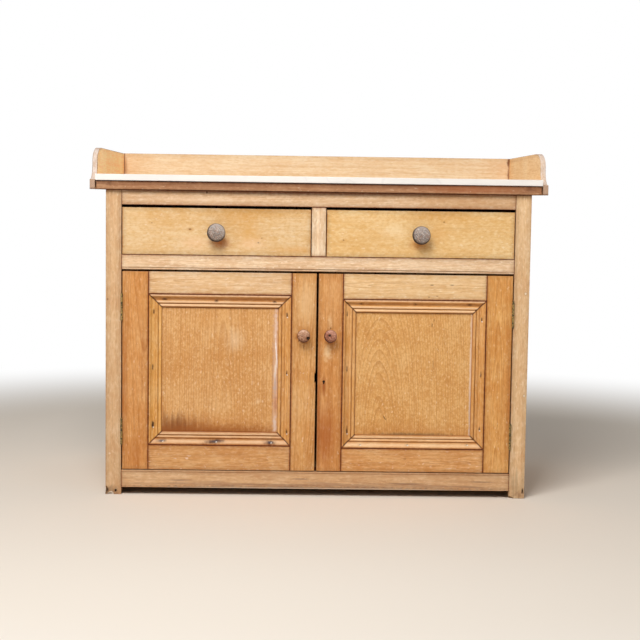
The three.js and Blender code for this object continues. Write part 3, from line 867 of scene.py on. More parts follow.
@dataclass
class Workshop:
    """Keeps one material for each finish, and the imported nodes' boxes and bodies.

    reach is how near a point is to a neighbour that it touches, spots how many places each way
    are tried on a board's side, and enough how many of them have to touch to make a joint.
    """

    reach: float = 0.8 * MM
    spots: int = 5
    enough: int = 4
    materials: dict[str, Material] = field(default_factory=dict)

    def __post_init__(self) -> None:
        """Note each node's box and body."""
        self.boxes = {name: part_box(name) for name in frame["nodes"]}
        self.bodies = {name: body_of(node)[0] for name, node in frame["nodes"].items()}

    def material(self, finish: Finish) -> Material:
        """Give a finish's material, made on first use.

        Args:
            finish: The finish.

        Returns:
            Its material.
        """
        if finish.name not in self.materials:
            self.materials[finish.name] = finish.material()
        return self.materials[finish.name]

    def fit(self, name: str, mesh: Mesh, body: str, finish: Finish, slot: str,
            nodes: Sequence[str] = ()) -> Object:
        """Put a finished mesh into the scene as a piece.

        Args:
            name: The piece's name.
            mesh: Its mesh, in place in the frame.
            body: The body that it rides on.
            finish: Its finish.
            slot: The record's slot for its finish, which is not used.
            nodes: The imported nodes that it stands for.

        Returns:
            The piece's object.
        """
        piece = linked(name, mesh)
        mesh.materials.clear()
        mesh.materials.append(self.material(finish))
        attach(piece, body)
        if nodes:
            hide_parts(*nodes)
        LOG.info("%s rides on %s, %d faces", name, body, len(mesh.polygons))
        return piece

    def joined(self, node: str, low: Vector, high: Vector, face: Way) -> list[tuple[bool, bool]]:
        """Find which sides of a board other pieces of its body meet.

        Args:
            node: The board's node.
            low: The board's lowest corner.
            high: Its highest corner.
            face: The way of its broad face, whose sides never count.

        Returns:
            For each axis, whether the low and the high side are met.
        """
        result = [(False, False)] * 3
        for way in Way:
            if way == face:
                continue
            others = [other.value for other in Way if other != way]
            pair = []
            for level in (low[way.value], high[way.value]):
                met = 0
                for steps in product(range(self.spots), repeat=2):
                    point = Vector((level, level, level))
                    for other, step in zip(others, steps):
                        share = (step + 0.5) / self.spots
                        point[other] = low[other] * (1 - share) + high[other] * share
                    met += self.near_joint(node, point)
                pair.append(met >= self.enough)
            result[way.value] = (pair[0], pair[1])
        return result

    def near_joint(self, node: str, point: Vector) -> bool:
        """Say whether a point of one node touches the box of another on the same body.

        Args:
            node: The point's own node.
            point: The point.

        Returns:
            Whether it touches.
        """
        return any(
            other != node and self.bodies[other] == self.bodies[node]
            and all(low[i] - self.reach <= point[i] <= high[i] + self.reach for i in range(3))
            for other, (low, high) in self.boxes.items())

    def worn(self, node: str, arris: float, joint: float, shortest: float,
             stretch: float = 28.0, shape: Shape | None = None) -> Mesh:
        """Round a node's arrises off unevenly, as handling does, and its joints only a little.

        Args:
            node: The node that is copied.
            arris: The widest rounding of an open arris, in millimetres.
            joint: The rounding where another piece meets it, in millimetres.
            shortest: Edges shorter than this many millimetres stay as they are.
            stretch: Length of the pieces that a long edge is cut into, in millimetres.
            shape: The shape to round, if it isn't the node's own.

        Returns:
            The rounded mesh.
        """
        shape = shape or copied(node)
        for edge in list(shape.edges):
            start, end = edge.verts
            for left in range(int(edge.calc_length() / (stretch * MM)), 0, -1):
                _, start = bmesh.utils.edge_split(edge, start, 1.0 / (left + 1))
                edge = next(part for part in start.link_edges if end in part.verts)
        weight = shape.edges.layers.float.new("bevel_weight_edge")
        for edge in shape.edges:
            if (len(edge.link_faces) != 2 or not edge.is_convex
                    or edge.calc_face_angle(0.0) < ARRIS_TURN
                    or edge.calc_length() < shortest * MM):
                continue
            middle = (edge.verts[0].co + edge.verts[1].co) / 2
            if self.near_joint(node, middle):
                edge[weight] = joint / arris
            else:
                # Wear comes and goes every 5 cm or so, with finer dips every 15 mm
                rub = noise.noise(middle * 21.0) + 0.6 * noise.noise(middle * 67.0)
                edge[weight] = max(0.35, min(1.0, 0.72 + 0.5 * rub))
        blank = linked(node + "_blank", as_mesh(shape, node))
        bevel = blank.modifiers.new("arris", "BEVEL")
        bevel.limit_method = "WEIGHT"
        bevel.width = arris * MM
        bevel.segments = 2
        bevel.use_clamp_overlap = True
        mesh = evaluated(blank)
        for face in mesh.polygons:
            face.use_smooth = max(abs(c) for c in face.normal) < FLAT_SHARE
        return mesh


@dataclass(frozen=True)
class Sawn:
    """How a board was sawn: where the heart of its log lies from the middle of its face.

    depth and side are in millimetres behind and beside the middle, lean and drift are the
    log's slopes against the face and the edge.
    """

    depth: float
    side: float
    lean: float = 0.0
    drift: float = 0.0

    @staticmethod
    def by_chance(name: str) -> "Sawn":
        """Choose how a board was sawn from its name, the same way each time.

        Args:
            name: The board's name.

        Returns:
            How it was sawn.
        """
        luck = random.Random(zlib.crc32(name.encode()))
        return Sawn(luck.uniform(28, 95), luck.uniform(-70, 70), luck.uniform(-0.035, 0.035),
                    luck.uniform(-0.02, 0.02))


def log_start(name: str) -> float:
    """Choose where along its log a board begins, in metres, from its name."""
    return (zlib.crc32(name.encode()) % 997) / 37.0


def lay_grain(mesh: Mesh, sawn: Sawn, run: Way, face: Way, box: tuple[Vector, Vector],
              joined: Sequence[tuple[bool, bool]], seed: float, gain: Rgb = PLAIN,
              among: Callable[[bpy.types.MeshPolygon], bool] | None = None) -> None:
    """Store a board's place in its log, its size and its tone on the mesh's corners.

    Args:
        mesh: The board's mesh.
        sawn: How it was sawn.
        run: The way that the grain runs.
        face: The way that the broad face looks.
        box: The board's lowest and highest corners.
        joined: For each axis, whether other pieces meet the low and the high side.
        seed: Where along its log the board begins, in metres.
        gain: How much lighter or darker the board is than its finish, for each colour.
        among: Picks the faces that belong to this board, if the mesh holds several.
    """
    names = ("grain", "to_low", "to_high", "gain")
    for name in names:
        if name not in mesh.attributes:
            mesh.attributes.new(name, "FLOAT_VECTOR", "CORNER")
    grain, to_low, to_high, tone = (mesh.attributes[name].data for name in names)
    low, high = box
    middle = (low + high) / 2
    across = next(way for way in Way if way not in (run, face))
    open_low, open_high = (Vector([MARGIN + (0.0 if pair[end] else OPEN) for pair in joined])
                           for end in (0, 1))
    for polygon in mesh.polygons:
        if among is not None and not among(polygon):
            continue
        for corner in polygon.loop_indices:
            place = mesh.vertices[mesh.loops[corner].vertex_index].co
            local = place - middle
            along = local[run.value]
            grain[corner].vector = (
                along + seed,
                local[across.value] + sawn.side * MM + sawn.drift * along,
                local[face.value] + sawn.depth * MM + sawn.lean * along,
            )
            to_low[corner].vector = place - low + open_low
            to_high[corner].vector = high - place + open_high
            tone[corner].vector = gain


@dataclass
class Board:
    """One board of the cabinet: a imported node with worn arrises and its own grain.

    arris, joint and shortest are as in Workshop.worn. gain is its tone, edge_gain that of its
    narrow sides, and arris_gain that of its rounded arrises.
    """

    node: str
    finish: Pine
    slot: str
    sawn: Sawn | None = None
    run: Way | None = None
    arris: float = 1.2
    joint: float = 0.6
    shortest: float = 9.0
    gain: Rgb = PLAIN
    edge_gain: Rgb | None = None
    arris_gain: Rgb | None = None

    def build(self, shop: Workshop, shape: Shape | None = None) -> Object:
        """Build the board and dress it.

        Args:
            shop: The workshop.
            shape: The board's shape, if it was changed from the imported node's.

        Returns:
            The board's object, which stands for the node.
        """
        low, high = shop.boxes[self.node]
        thinnest, _, longest = sorted(Way, key=lambda way: high[way.value] - low[way.value])
        mesh = shop.worn(self.node, self.arris, self.joint, self.shortest, shape=shape)
        place = (self.sawn or Sawn.by_chance(self.node), self.run or longest, thinnest,
                 (low, high), shop.joined(self.node, low, high, thinnest), log_start(self.node))
        lay_grain(mesh, *place, self.gain)
        for tone, least, most in ((self.edge_gain, 0.0, 0.3), (self.arris_gain, 0.3, 0.96)):
            if tone:
                lay_grain(mesh, *place, tone, lambda face, least=least, most=most:
                          least <= abs(face.normal[thinnest.value]) < most)
        return shop.fit(self.node + "_board", mesh, shop.bodies[self.node], self.finish, self.slot,
                        [self.node])


# Frame pine was stripped in a bath and only brushed: pale, dry and matt, with soft brown rings
FRAME_PINE = Pine(
    "stripped_pine_frame", early="dcb588", late="a9764a", patch="cc996a",
    ring=3.0, ring_strength=0.4, roughness=0.6, band="a05a24", band_strength=0.45,
    marks=marked(
        (590.9, 591.1, 5.5, 6.5, "9b6a42", 0.6), (590.9, 591.1, 3.6, 4.2, "f3dfc2", 0.95, 0.4),
        (593.9, 297.9, 5, 6, "9b6a42", 0.6), (593.9, 297.9, 3.2, 4, "f3dfc2", 0.9, 0.4),
        (-596, 560, 3, 5, "7d4a2a", 0.6), (-590, 118, 4, 4, "f3dfc2", 0.6),
        (-584, 6, 30, 26, "7a5738", 0.5, 0.7, 1.2),
    ) + marked(
        (-598.5, 12, 7, 13, "1d0c05", 0.95, 0.6), (-572.5, 11, 4.5, 5, "2a1409", 0.95, 0.6),
        (-587, 0, 10, 10, "f7efe2", 0.97, 0.35), (596, 20, 4.4, 11, "2a1409", 0.85), deep=14.0,
    ) + marked(
        (580, 30, 34, 70, "8d7052", 0.5, 0.95, 1.4), fibrous=True,
    ) + marked(
        (585, 12, 22, 14, "8a5a3c", 0.45, 0.95, 1.4),
    ),
)
# The rails have the frame's wood, with a painted shadow under the top board's overhang, a line at
# the bead, and scuffs
TOP_RAIL_PINE = replace(
    FRAME_PINE, name="stripped_pine_top_rail", marks=marked(
        # A painted shadow of the top board's overhang along the rail's upper edge
        (0, 873, 900, 20, "74412a", 0.85, 0.95, 0.3), deep=20.0,
    ) + marked(
        (-317.3, 866, 2.6, 5.5, "32190c", 0.95, 0.5), (-322, 858, 14, 7, "a9744c", 0.35),
        (-330, 846, 220, 12, "efd0b0", 0.4, 1, 1.4), (420, 850, 330, 60, "b98046", 0.4, 1, 0.9),
    ),
)
MID_RAIL_PINE = replace(
    FRAME_PINE, name="stripped_pine_mid_rail", marks=marked(
        (0, 651.8, 900, 1.5, "9a6a42", 0.85, 0.6, 0.3), (0, 646, 900, 3, "8a5c3c", 0.55, 0.9),
    ),
)
BOTTOM_PINE = replace(
    FRAME_PINE, name="stripped_pine_bottom_rail", marks=marked(
        (0, 62, 560, 9, "dbab7c", 0.5, 1, 1.5),
    ) + marked(
        (0, 32, 700, 11, "8f6c58", 0.5, 1, 2.2), deep=20.0, fibrous=True,
    ) + marked(
        (0, 25, 700, 4, "5d3c2c", 0.55, 1, 2.6), deep=20.0,
    ) + marked(
        (-389, 42, 46, 4, "6b4638", 0.45, 0.9, 1.9), (-188, 33, 60, 4, "6b4638", 0.45, 0.9, 2),
        (-45, 50, 30, 3.5, "7d564a", 0.5, 0.9, 1.9), (243, 40, 60, 4.5, "6b4638", 0.4, 0.9, 1.9),
        (474, 46, 40, 5, "6b4638", 0.4, 0.9, 1.9), fibrous=True,
    ) + marked(
        (0, 22, 560, 3.6, "ead6bd", 0.6, 0.6, 1.3), deep=8.0,
    ),
)
# The gallery is sanded cleaner than the rest: yellow and even, but grey and worn on its ends
TOP_PINE = replace(
    FRAME_PINE, name="stripped_pine_gallery", early="eecb9f", late="c98f55", patch="e2b07a",
    wander=9.0, arris_strength=0.35, soft_strength=0.1, ring_strength=0.4, spark_strength=0.2,
    joint_strength=0.75, marks=tuple(
        Mark(side * 637.6, z, 40, tall, colour, strength, fade, 0.9, y=FACE + y, deep=deep)
        for side in (-1, 1) for y, z, deep, tall, colour, strength, fade in (
            (-14, 884, 11, 22, "b59276", 0.85, 0.4), (-12, 872, 16, 4, "6b4a34", 0.7, 0.9),
            (90, 992, 60, 11, "9c7048", 0.75, 0.9),
        )
    ) + marked(
        (628, 978, 10, 16, "6e3c1c", 0.85, 0.8, 1.6), (628, 936, 6, 24, "7c4421", 0.6, 0.9, 1.4),
        (-628, 952, 12, 44, "b06f38", 0.5, 0.95, 0.9), y=FACE + 652,
    ),
)
# The top board's edge was never stripped well and is brown, nearly black in a painted shadow under
# the slab, with painted shade at its lower edge and ends
STRIP_PINE = replace(
    FRAME_PINE, name="darkened_pine_edge", early="b0815b", late="7a4c30", patch="9c6844",
    pale="d0a27c", grime="3a1c0e", soft_strength=0.0, marks=marked(
        # A painted shadow of the slab's overhang, nearly black at the top, and painted shade along
        # the lower edge
        (0, 898, 2000, 22, "693a1c", 0.95, 1, 0.3), (0, 897, 2000, 8, "2e0e02", 0.95, 0.7, 0.4),
        (0, 870, 2000, 3.4, "4d220b", 0.85), y=FACE - 12.0, deep=30.0,
    ) + marked(
        # The black lines at the ends are painted shade in the gaps beside the gallery ends
        (430, 884, 230, 16, "a85e34", 0.45, 0.9, 1), (-628.6, 884, 3.4, 22, "120602", 0.97, 0.5),
        (628.6, 884, 3.4, 22, "120602", 0.97, 0.5), (-594, 888, 30, 8, "4a2a1a", 0.5, 1, 1.4),
        (596, 886, 26, 10, "5a3220", 0.5, 1, 1.4), y=FACE - 12.0, deep=20.0,
    ),
)
# Drawer fronts are quarter-sawn and waxed: straight fine grain, golden, with a soft sheen
DRAWER_PINE = Pine(
    "waxed_pine_drawer", early="ebc084", late="c48a48", patch="daa052", pale="f6dbab",
    ring=5.0, ring_strength=0.16, streak_strength=0.12, fibre_strength=0.18, roughness=0.5,
    band="c07a2e", arris_strength=0.6, soft_strength=0.22, blotch_strength=0.3,
    mottle_strength=0.3, pore_size=(8.0, 3.6, 3.6), mottle_size=(12.0, 7.0, 7.0),
    knots=(
        Knot(-364.5, 761.3, 4.6), Knot(-170.8, 725.9, 3.4, "5f3413"),
        Knot(-161.0, 738.7, 3.0, strength=0.55), Knot(-471.7, 778.1, 3.0, strength=0.45),
        Knot(70.2, 736.2, 2.6), Knot(354.3, 791.0, 2.8, "5f3413"),
    ),
    marks=marked(
        (-180, 814, 240, 26, "c78f42", 0.55, 1, 1.3), (-222, 794, 88, 24, "d0964a", 0.4, 1, 1.2),
        (-196, 752, 60, 40, "dca050", 0.3, 1, 1), (-278, 724, 40, 24, "b85e16", 0.8, 1, 0.8),
        (-350, 722, 70, 30, "f4c9a0", 0.4, 1, 1), (-190, 722, 60, 26, "f4c9a0", 0.4, 1, 1),
        (-60, 706, 110, 16, "d4923d", 0.4, 1, 1), (325, 810, 150, 24, "cb9040", 0.55, 1, 1.2),
        (338, 760, 44, 40, "d8953c", 0.4, 1, 0.8), (214, 766, 52, 26, "f7dfb4", 0.55, 1, 0.9),
        (284, 726, 38, 20, "b8661c", 0.7, 1, 0.8), (180, 745, 60, 20, "d59a4e", 0.3, 1, 1.2),
    ),
)
# Door frames are waxed too, and redder where hands and polish have darkened the stiles
DOOR_PINE = Pine(
    "waxed_pine_door", early="d99c5c", late="a2591f", patch="c47a34", pale="edbf88",
    ring=3.4, ring_strength=0.55, streak_strength=0.35, roughness=0.48, soft_strength=0.16,
    knots=(Knot(255.8, 112.0, 6.0, "9a5a26", 0.4),),
    marks=marked(
        (-562, 300, 34, 330, "a9561a", 0.5, 1), deep=30.0,
    ) + marked(
        (-522, 110, 46, 80, "b0601f", 0.4, 1, 0.8), fibrous=True,
    ) + marked(
        (562, 300, 30, 330, "9c4e1c", 0.5, 1), deep=30.0,
    ) + marked(
        (30, 414, 16, 32, "edd0a4", 0.6, 1, 1.3), (36, 505, 10, 30, "f0cfa0", 0.4, 1, 1),
    ) + marked(
        (-34, 560, 40, 110, "ecc796", 0.5, 1, 0.7), (44, 590, 40, 70, "e6b47c", 0.35, 1, 0.7),
        deep=20.0,
    ) + marked(
        (20, 318, 9, 44, "93430f", 0.75, 0.9, 0.7), (24, 170, 46, 140, "a24f1a", 0.6, 1, 0.8),
        fibrous=True,
    ) + marked(
        (6, 330, 8, 330, "a8561a", 0.55, 1, 0.6), deep=30.0,
    ) + marked(
        # Reddish stains below the knobs, darkened further as a painted shadow under them, and
        # small dark spots near them
        (37, 446, 19, 11, "8f400e", 0.8, 1, 0.7), (37.6, 485.5, 2.2, 2.4, "3c2820", 0.9, 0.6),
        (-39, 446, 17, 11, "8a4212", 0.7, 1, 0.9), (-38.5, 430, 2.4, 14, "8a4a1e", 0.6, 0.9, 0.9),
        (-53, 448, 3, 2.6, "5e2c10", 0.85), (-57.5, 460, 9, 13, "8f4a1c", 0.65, 1, 1.3),
        (-54, 466, 3, 4, "5e2c10", 0.7, 0.8),
    ) + marked(
        # The near-black lines on the doors' top edges are painted shade in the gap under the mid
        # rail
        (-279, 642, 300, 2.4, "180802", 0.97, 0.5, 0.1),
        (279, 642, 300, 2.4, "180802", 0.97, 0.5, 0.1), y=FACE + 14.0, deep=18.0,
    ) + marked(
        (323.8, 611.9, 8, 1.8, "5e3214", 0.8), (380.8, 612.6, 8.5, 2, "6b3a18", 0.75),
        (315.9, 577.8, 4.5, 1.6, "5e3214", 0.7), (338.7, 580.7, 5, 1.5, "6b3a18", 0.6),
        (355, 609, 15, 8, "c98a44", 0.35), (81, 356, 2.4, 6, "3a1a0a", 0.8),
    ),
)
# The doors' top rails are a lighter copy of the door wood, painted lighter because light from
# above falls on them
LIT_TOP_DOOR_PINE = replace(DOOR_PINE, name="waxed_pine_door_top_lit", early="eac08d", late="b87a3e",
                        patch="d9a468", pale="f6dbb4", ring_strength=0.6)
# Panels are wide flat-sawn boards: broad arches, pale flecks, a scorch and rubbed pale edges
PANEL_PINE = Pine(
    "waxed_wide_pine_panel", early="dba568", late="ad6d34", patch="c4843f", pale="f0cc98",
    ring=6.5, ring_strength=0.55, fibre_strength=0.12, fleck_strength=0.5, pore_strength=0.35,
    roughness=0.52, blotch_strength=0.25, soft_strength=0.0, arris_strength=0.0,
    mottle_strength=0.3, spark_strength=0.45, streak_strength=0.2,
    pore_size=(6.0, 3.6, 3.6), mottle_size=(9.0, 6.5, 6.5),
    marks=marked(
        (-392, 182, 160, 72, "84441c", 0.65, 1, 0.9), (-404, 186, 92, 52, "5c2a14", 0.6, 1, 1),
        y=PANEL_FACE, fibrous=True,
    ) + marked(
        (-428, 206, 4.5, 46, "5a2410", 0.5, 1, 1), (-413, 212, 4.5, 40, "5a2410", 0.5, 1, 1),
        (-397, 204, 4.5, 50, "5a2410", 0.5, 1, 1), (-391, 198, 4.5, 34, "5a2410", 0.5, 1, 1),
        (-374, 194, 4.5, 30, "5a2410", 0.5, 1, 1), (-290, 180, 330, 36, "84441c", 0.9, 1, 0.9),
        (-277, 180, 400, 66, "b8702c", 0.4, 1, 0.7), (277, 176, 400, 50, "b8722e", 0.45, 1, 0.7),
        (-119, 360, 11, 350, "d8ac8c", 0.75, 0.6, 1.5),
        (-118, 490, 5, 80, "e6c8b4", 0.7, 0.8, 1.5),
        (-116.5, 412, 3, 60, "f8ece4", 0.9, 0.8, 1.2, -4),
        (-118.5, 360, 5, 56, "ecdccc", 0.8, 0.9, 1.4, 5),
        (-119, 318, 7, 46, "b8a6a4", 0.6, 0.9, 1.2), (-117.5, 262, 7, 34, "b06c48", 0.6, 0.9, 1.2),
        (-119, 206, 8, 36, "e0cabc", 0.8, 0.9, 1.3),
        (-126, 330, 2.4, 220, "a8744a", 0.5, 0.8, 1.5),
        (440, 370, 4.6, 300, "e6cdb6", 0.75, 0.7, 1.4),
        (440.5, 240, 4, 110, "c9b09c", 0.7, 0.8, 1.4),
        # Painted shadow lines below the top mouldings, and a dark line along the left panel's
        # bottom edge
        (-277, 540, 400, 4.5, "5e2600", 0.9, 0.9, 0.3),
        (-277, 182, 400, 3.5, "5e2600", 0.8, 0.9, 0.4),
        (277, 531.5, 400, 4.5, "5e2600", 0.85, 0.9, 0.3), y=PANEL_FACE,
    ) + marked(
        (-235, 445, 40, 50, "f4dbb5", 0.35, 1, 1.5), y=PANEL_FACE, fibrous=True,
    ) + marked(
        (-168, 272, 11, 11, "f0d2a8", 0.4, 0.9, 1.2), (277, 180, 180, 8, "6a573d", 0.6, 0.9, 1.2),
        (277, 530, 180, 16, "b9793a", 0.45, 1, 0.9), (327.4, 497, 1.8, 9, "6b3716", 0.75),
        (333, 511.4, 1.6, 6, "6b3716", 0.6), (332, 385, 2, 16, "9a5c28", 0.6, 0.7, 0.9),
        (196, 228, 2, 10, "4d2712", 0.8, 0.7, 0.5, -30), (-277, 500, 170, 36, "d59c5c", 0.3, 1),
        y=PANEL_FACE,
    ),
)
# Where the mouldings' nails are, in x and z
NAILS = (
    (-434.5, 562.0), (-287.5, 559.0), (-122.3, 558.0), (-439.7, 155.6), (-286.8, 155.0),
    (-129.4, 154.0), (-465.8, 523.0), (-468.4, 362.0), (-467.0, 197.0), (-87.2, 517.0),
    (-86.1, 352.5), (-85.0, 182.0), (123.3, 556.0), (279.2, 557.0), (431.8, 557.0),
    (126.6, 150.0), (262.0, 151.0), (434.0, 153.0), (84.4, 523.0), (85.7, 364.0),
    (88.1, 184.0), (468.0, 512.0), (469.4, 353.0), (468.4, 197.5),
)
# The heights between which the nails of the upright runs lie
UPRIGHT = (160, 540)
ON_MOULDING: dict[str, float] = {"y": MOULDING_FACE, "deep": 16.0}
# Mouldings are planed and waxed, with dark lines of dirt and painted shade in their quirks, and
# stains from the nails
MOULDING_PINE = Pine(
    "waxed_pine_moulding", early="dfa663", late="a9682f", patch="cb8a3d", pale="f6d3a0",
    ring=2.4, ring_strength=0.35, arris_strength=0.0, soft_strength=0.0, roughness=0.42,
    mottle_strength=0.2, spark_strength=0.25,
    hollow_dirt_and_shade=((0.0, 0.5), (0.03, 0.0), (0.44, 0.0), (0.48, 0.25), (0.51, 0.0), (0.68, 0.1),
             (0.71, 0.6), (0.735, 0.45), (0.755, 0.0), (0.92, 0.0), (0.965, 0.45), (1.0, 0.8)),
    marks=marked(
        *((x, z + 4, 3.4, 11, "3d1c0b", 0.85, 0.9, 1.2)
          for x, z in NAILS if UPRIGHT[0] < z < UPRIGHT[1]),
        (-467, 203, 6, 18, "2c120a", 0.9, 1, 0.9), (88.1, 191, 5, 18, "2c120a", 0.9, 1, 0.9),
        *((x + 1.2, z - 3, 2.6, 2.6, "f1e6d8", 0.9, 0.6)
          for x, z in NAILS if UPRIGHT[0] < z < 200 or x in (-86.1, -87.2, 468.0)),
        **ON_MOULDING,
    ),
)
# The top runs are a lighter copy lit from above, with painted highlights on the lip, roll and bead
# and painted shade in the cove under the lip
TOP_MOULDING_PINE = replace(
    MOULDING_PINE, name="waxed_pine_top_moulding_lit", early="e2a968",
    ridge_highlights=((0.0, 0.0), (0.03, 0.0), (0.05, 0.6), (0.14, 0.5), (0.18, 0.0), (0.5, 0.0),
            (0.54, 0.4), (0.6, 0.65), (0.66, 0.1), (0.7, 0.0), (0.76, 0.2), (0.84, 0.65),
            (0.9, 0.2), (0.95, 0.0)),
    hollow_dirt_and_shade=((0.0, 0.7), (0.03, 0.1), (0.05, 0.0), (0.19, 0.0), (0.26, 0.45), (0.36, 0.55),
             (0.44, 0.3), (0.5, 0.05), (0.66, 0.15), (0.7, 0.85), (0.735, 0.7), (0.76, 0.0),
             (0.9, 0.1), (0.955, 0.7), (1.0, 1.0)),
    marks=marked(*((x, z, 10, 5.2, "5b2d10", 0.8 if x < 0 else 0.5, 0.9, 1.2)
                   for x, z in NAILS if z > UPRIGHT[1]), **ON_MOULDING),
)
# The bottom runs are a darker copy, with painted highlights on the cove, roll and bead and painted
# shade at the foot of the roll
BOTTOM_MOULDING_PINE = replace(
    MOULDING_PINE, name="waxed_pine_bottom_moulding_shaded", early="d59f6a",
    ridge_highlights=((0.0, 0.0), (0.09, 0.0), (0.16, 0.3), (0.3, 0.35), (0.4, 0.0), (0.56, 0.0),
            (0.61, 0.35), (0.67, 0.1), (0.7, 0.0), (0.77, 0.0), (0.84, 0.6), (0.9, 0.1),
            (0.95, 0.0)),
    hollow_dirt_and_shade=((0.0, 0.9), (0.04, 0.55), (0.1, 0.15), (0.2, 0.0), (0.42, 0.15), (0.48, 0.75),
             (0.53, 0.6), (0.57, 0.0), (0.68, 0.0), (0.71, 0.85), (0.74, 0.5), (0.77, 0.0),
             (0.91, 0.1), (0.965, 0.5), (1.0, 0.85)),
    marks=marked(
        (-442, 156, 24, 9, "6a4a36", 0.6, 1, 0.9, -4),
        (-293, 154.5, 46, 12, "6a3a1e", 0.85, 1, 0.9, -6),
        (-290, 155.5, 34, 7, "3a1a10", 0.9, 1, 0.9, -8),
        (-132.5, 152.5, 30, 15, "7a4a28", 0.8, 1, 0.9, 4),
        (-132, 152.5, 18, 9, "35191a", 0.95, 1, 0.9, 6),
        *((x - 2, z, 10, 5, "4a3e42", 0.8 if x < 0 else 0.15, 0.8, 1.2)
          for x, z in NAILS if z < UPRIGHT[0]),
        *((x + 1, z - 1, 3.4, 2.4, "f1e6d8", 0.85) for x, z in NAILS if z < UPRIGHT[0]),
        **ON_MOULDING,
    ),
)
# Inside, the pine was never finished: grey-brown, sawn and dull
INSIDE_PINE = Pine(
    "bare_pine_inside", early="cfa679", late="99693e", patch="b08050", roughness=0.75,
    ring=4.2, ring_strength=0.4,
)
# End grain soaks up dirt, so the dovetail pins are darker than the sides round them
PIN_PINE = Pine(
    "end_grain_pine", early="b88453", late="7a4b26", patch="96663a", roughness=0.8, ring=1.6,
    ring_strength=0.6, soft_strength=0.0, arris_strength=0.0,
)
MARBLE = Marble()
# The drawer knobs have weathered to grey, the door knobs are waxed pink-brown and dented
DRAWER_KNOB = Turned("weathered_turned_pine", body="8e7d70", dark="2e1c10", pale="c6bab0",
                     warm="9c7866", cool="86807f", rim=0.95)
RIGHT_DRAWER_KNOB = replace(
    DRAWER_KNOB, name="weathered_turned_pine_centred", body="86756a",
    marks=marked((288, 752, 2.6, 2.6, "7c5540", 0.75, 0.8), y=FACE - 30.0, deep=30.0),
)
DOOR_KNOB = Turned(
    "waxed_turned_pine", body="956343", dark="451803", pale="e2b898", warm="98582f",
    cool="ad7d64", rim=0.9, light_slope=0.42, shade=(-0.1, -0.99), roughness=0.42,
    marks=marked((-26.8, 458.2, 5.6, 5.6, "1c0a04", 0.97, 0.6), y=FACE - 20.0, deep=26.0),
)
RIGHT_DOOR_KNOB = replace(
    DOOR_KNOB, name="reddened_turned_pine", body="8f553a", dark="451403", pale="d9a288",
    warm="8a4226", cool="9f6c5a", shade=(-0.55, -0.83),
    marks=marked(
        (34.4, 466.8, 7.4, 2.8, "1c0a04", 0.95, 0.7, 0.5, 28),
        (34.4, 466.8, 6, 2.6, "1c0a04", 0.95, 0.7, 0.5, -42), y=FACE - 28.0, deep=18.0,
    ),
)
# Cast brass is dull olive with dark skin, forged iron brown with rust in patches, and the
# nails' iron nearly black
BRASS = OldMetal("tarnished_cast_brass", metal="a48c56", tarnish="463a22", grain=4.0, cover=0.6)
IRON = OldMetal("rusted_forged_iron", metal="6a6662", tarnish="4a2c1c", grain=5.0, cover=0.6)
NAIL_IRON = OldMetal("darkened_nail_iron", metal="4d4a48", tarnish="2e170c", grain=2.0, cover=1.0,
                     roughness=0.65)


@dataclass
class Carcass:
    """The fixed body: stiles, rails, sides, floor, back and drawer runners."""

    shop: Workshop
    boards: int = BACK_BOARDS

    def build(self) -> None:
        """Build every board of the carcass."""
        # The feet are chipped, and a line is scratched along the mid rail over its bead
        cuts = {
            "left_front_stile": (chip((-599.0, FACE, 13.0), (4.6, 9.0, 10.0), 0.4),
                                 chip((-572.5, FACE, 10.5), (3.2, 6.0, 3.6), 2.1),
                                 chip((-587.0, FACE, 0.0), (9.0, 8.0, 7.5), 4.7)),
            "right_front_stile": (chip((596.4, FACE, 20.0), (2.6, 5.0, 9.0), 6.3),
                                  chip((559.5, FACE, -1.0), (11.0, 15.0, 7.5), 8.2)),
            "mid_rail": (groove(-560.0, 560.0, 651.8, 0.5, 0.8),),
        }
        for node, finish, sawn, gain in (
            ("left_front_stile", FRAME_PINE, Sawn(60, 70, 0.01), PLAIN),
            ("right_front_stile", FRAME_PINE, Sawn(55, -66, -0.01), (1.15, 1.2, 1.22)),
            ("mid_rail", MID_RAIL_PINE, None, (1.18, 1.3, 1.5)),
            ("bottom_rail", BOTTOM_PINE, None, (0.97, 0.93, 0.9)),
            ("top_rail", TOP_RAIL_PINE, None, (1.05, 1.1, 1.2)),
            ("drawer_muntin", FRAME_PINE, None, (1.24, 1.42, 1.7)),
            ("left_side", FRAME_PINE, Sawn(75, 40, 0.012), PLAIN),
            ("right_side", FRAME_PINE, Sawn(65, -55, -0.01), PLAIN),
        ):
            shape = carved(node, cuts[node]) if node in cuts else None
            Board(node, finish, "pine_frame", sawn, gain=gain).build(self.shop, shape)
        for node in ("cupboard_floor", "left_drawer_runner", "right_drawer_runner",
                     "centre_drawer_runner"):
            Board(node, INSIDE_PINE, "pine_inside").build(self.shop)
        self.build_back()

    def build_back(self) -> None:
        """Build the back as upright boards, each with a grain of its own."""
        node = "back_boards"
        low, high = self.shop.boxes[node]
        mesh = self.shop.worn(node, arris=0.8, joint=0.3, shortest=20.0)
        pitch = (high.x - low.x) / self.boards
        for number in range(self.boards):
            left = low.x + number * pitch
            name = f"{node}_{number}"
            tone = random.Random(zlib.crc32(name.encode())).uniform(0.86, 1.06)
            box = (Vector((left, low.y, low.z)), Vector((left + pitch, high.y, high.z)))
            lay_grain(mesh, Sawn.by_chance(name), Way.Z, Way.Y, box,
                      ((True, True), (False, False), (False, False)), seed=number * 3.7,
                      gain=(tone, tone, tone * 0.99),
                      among=lambda face, left=left: left <= face.center.x < left + pitch + 1e-6)
        self.shop.fit(node + "_joined", mesh, self.shop.bodies[node], INSIDE_PINE, "pine_inside",
                      [node])


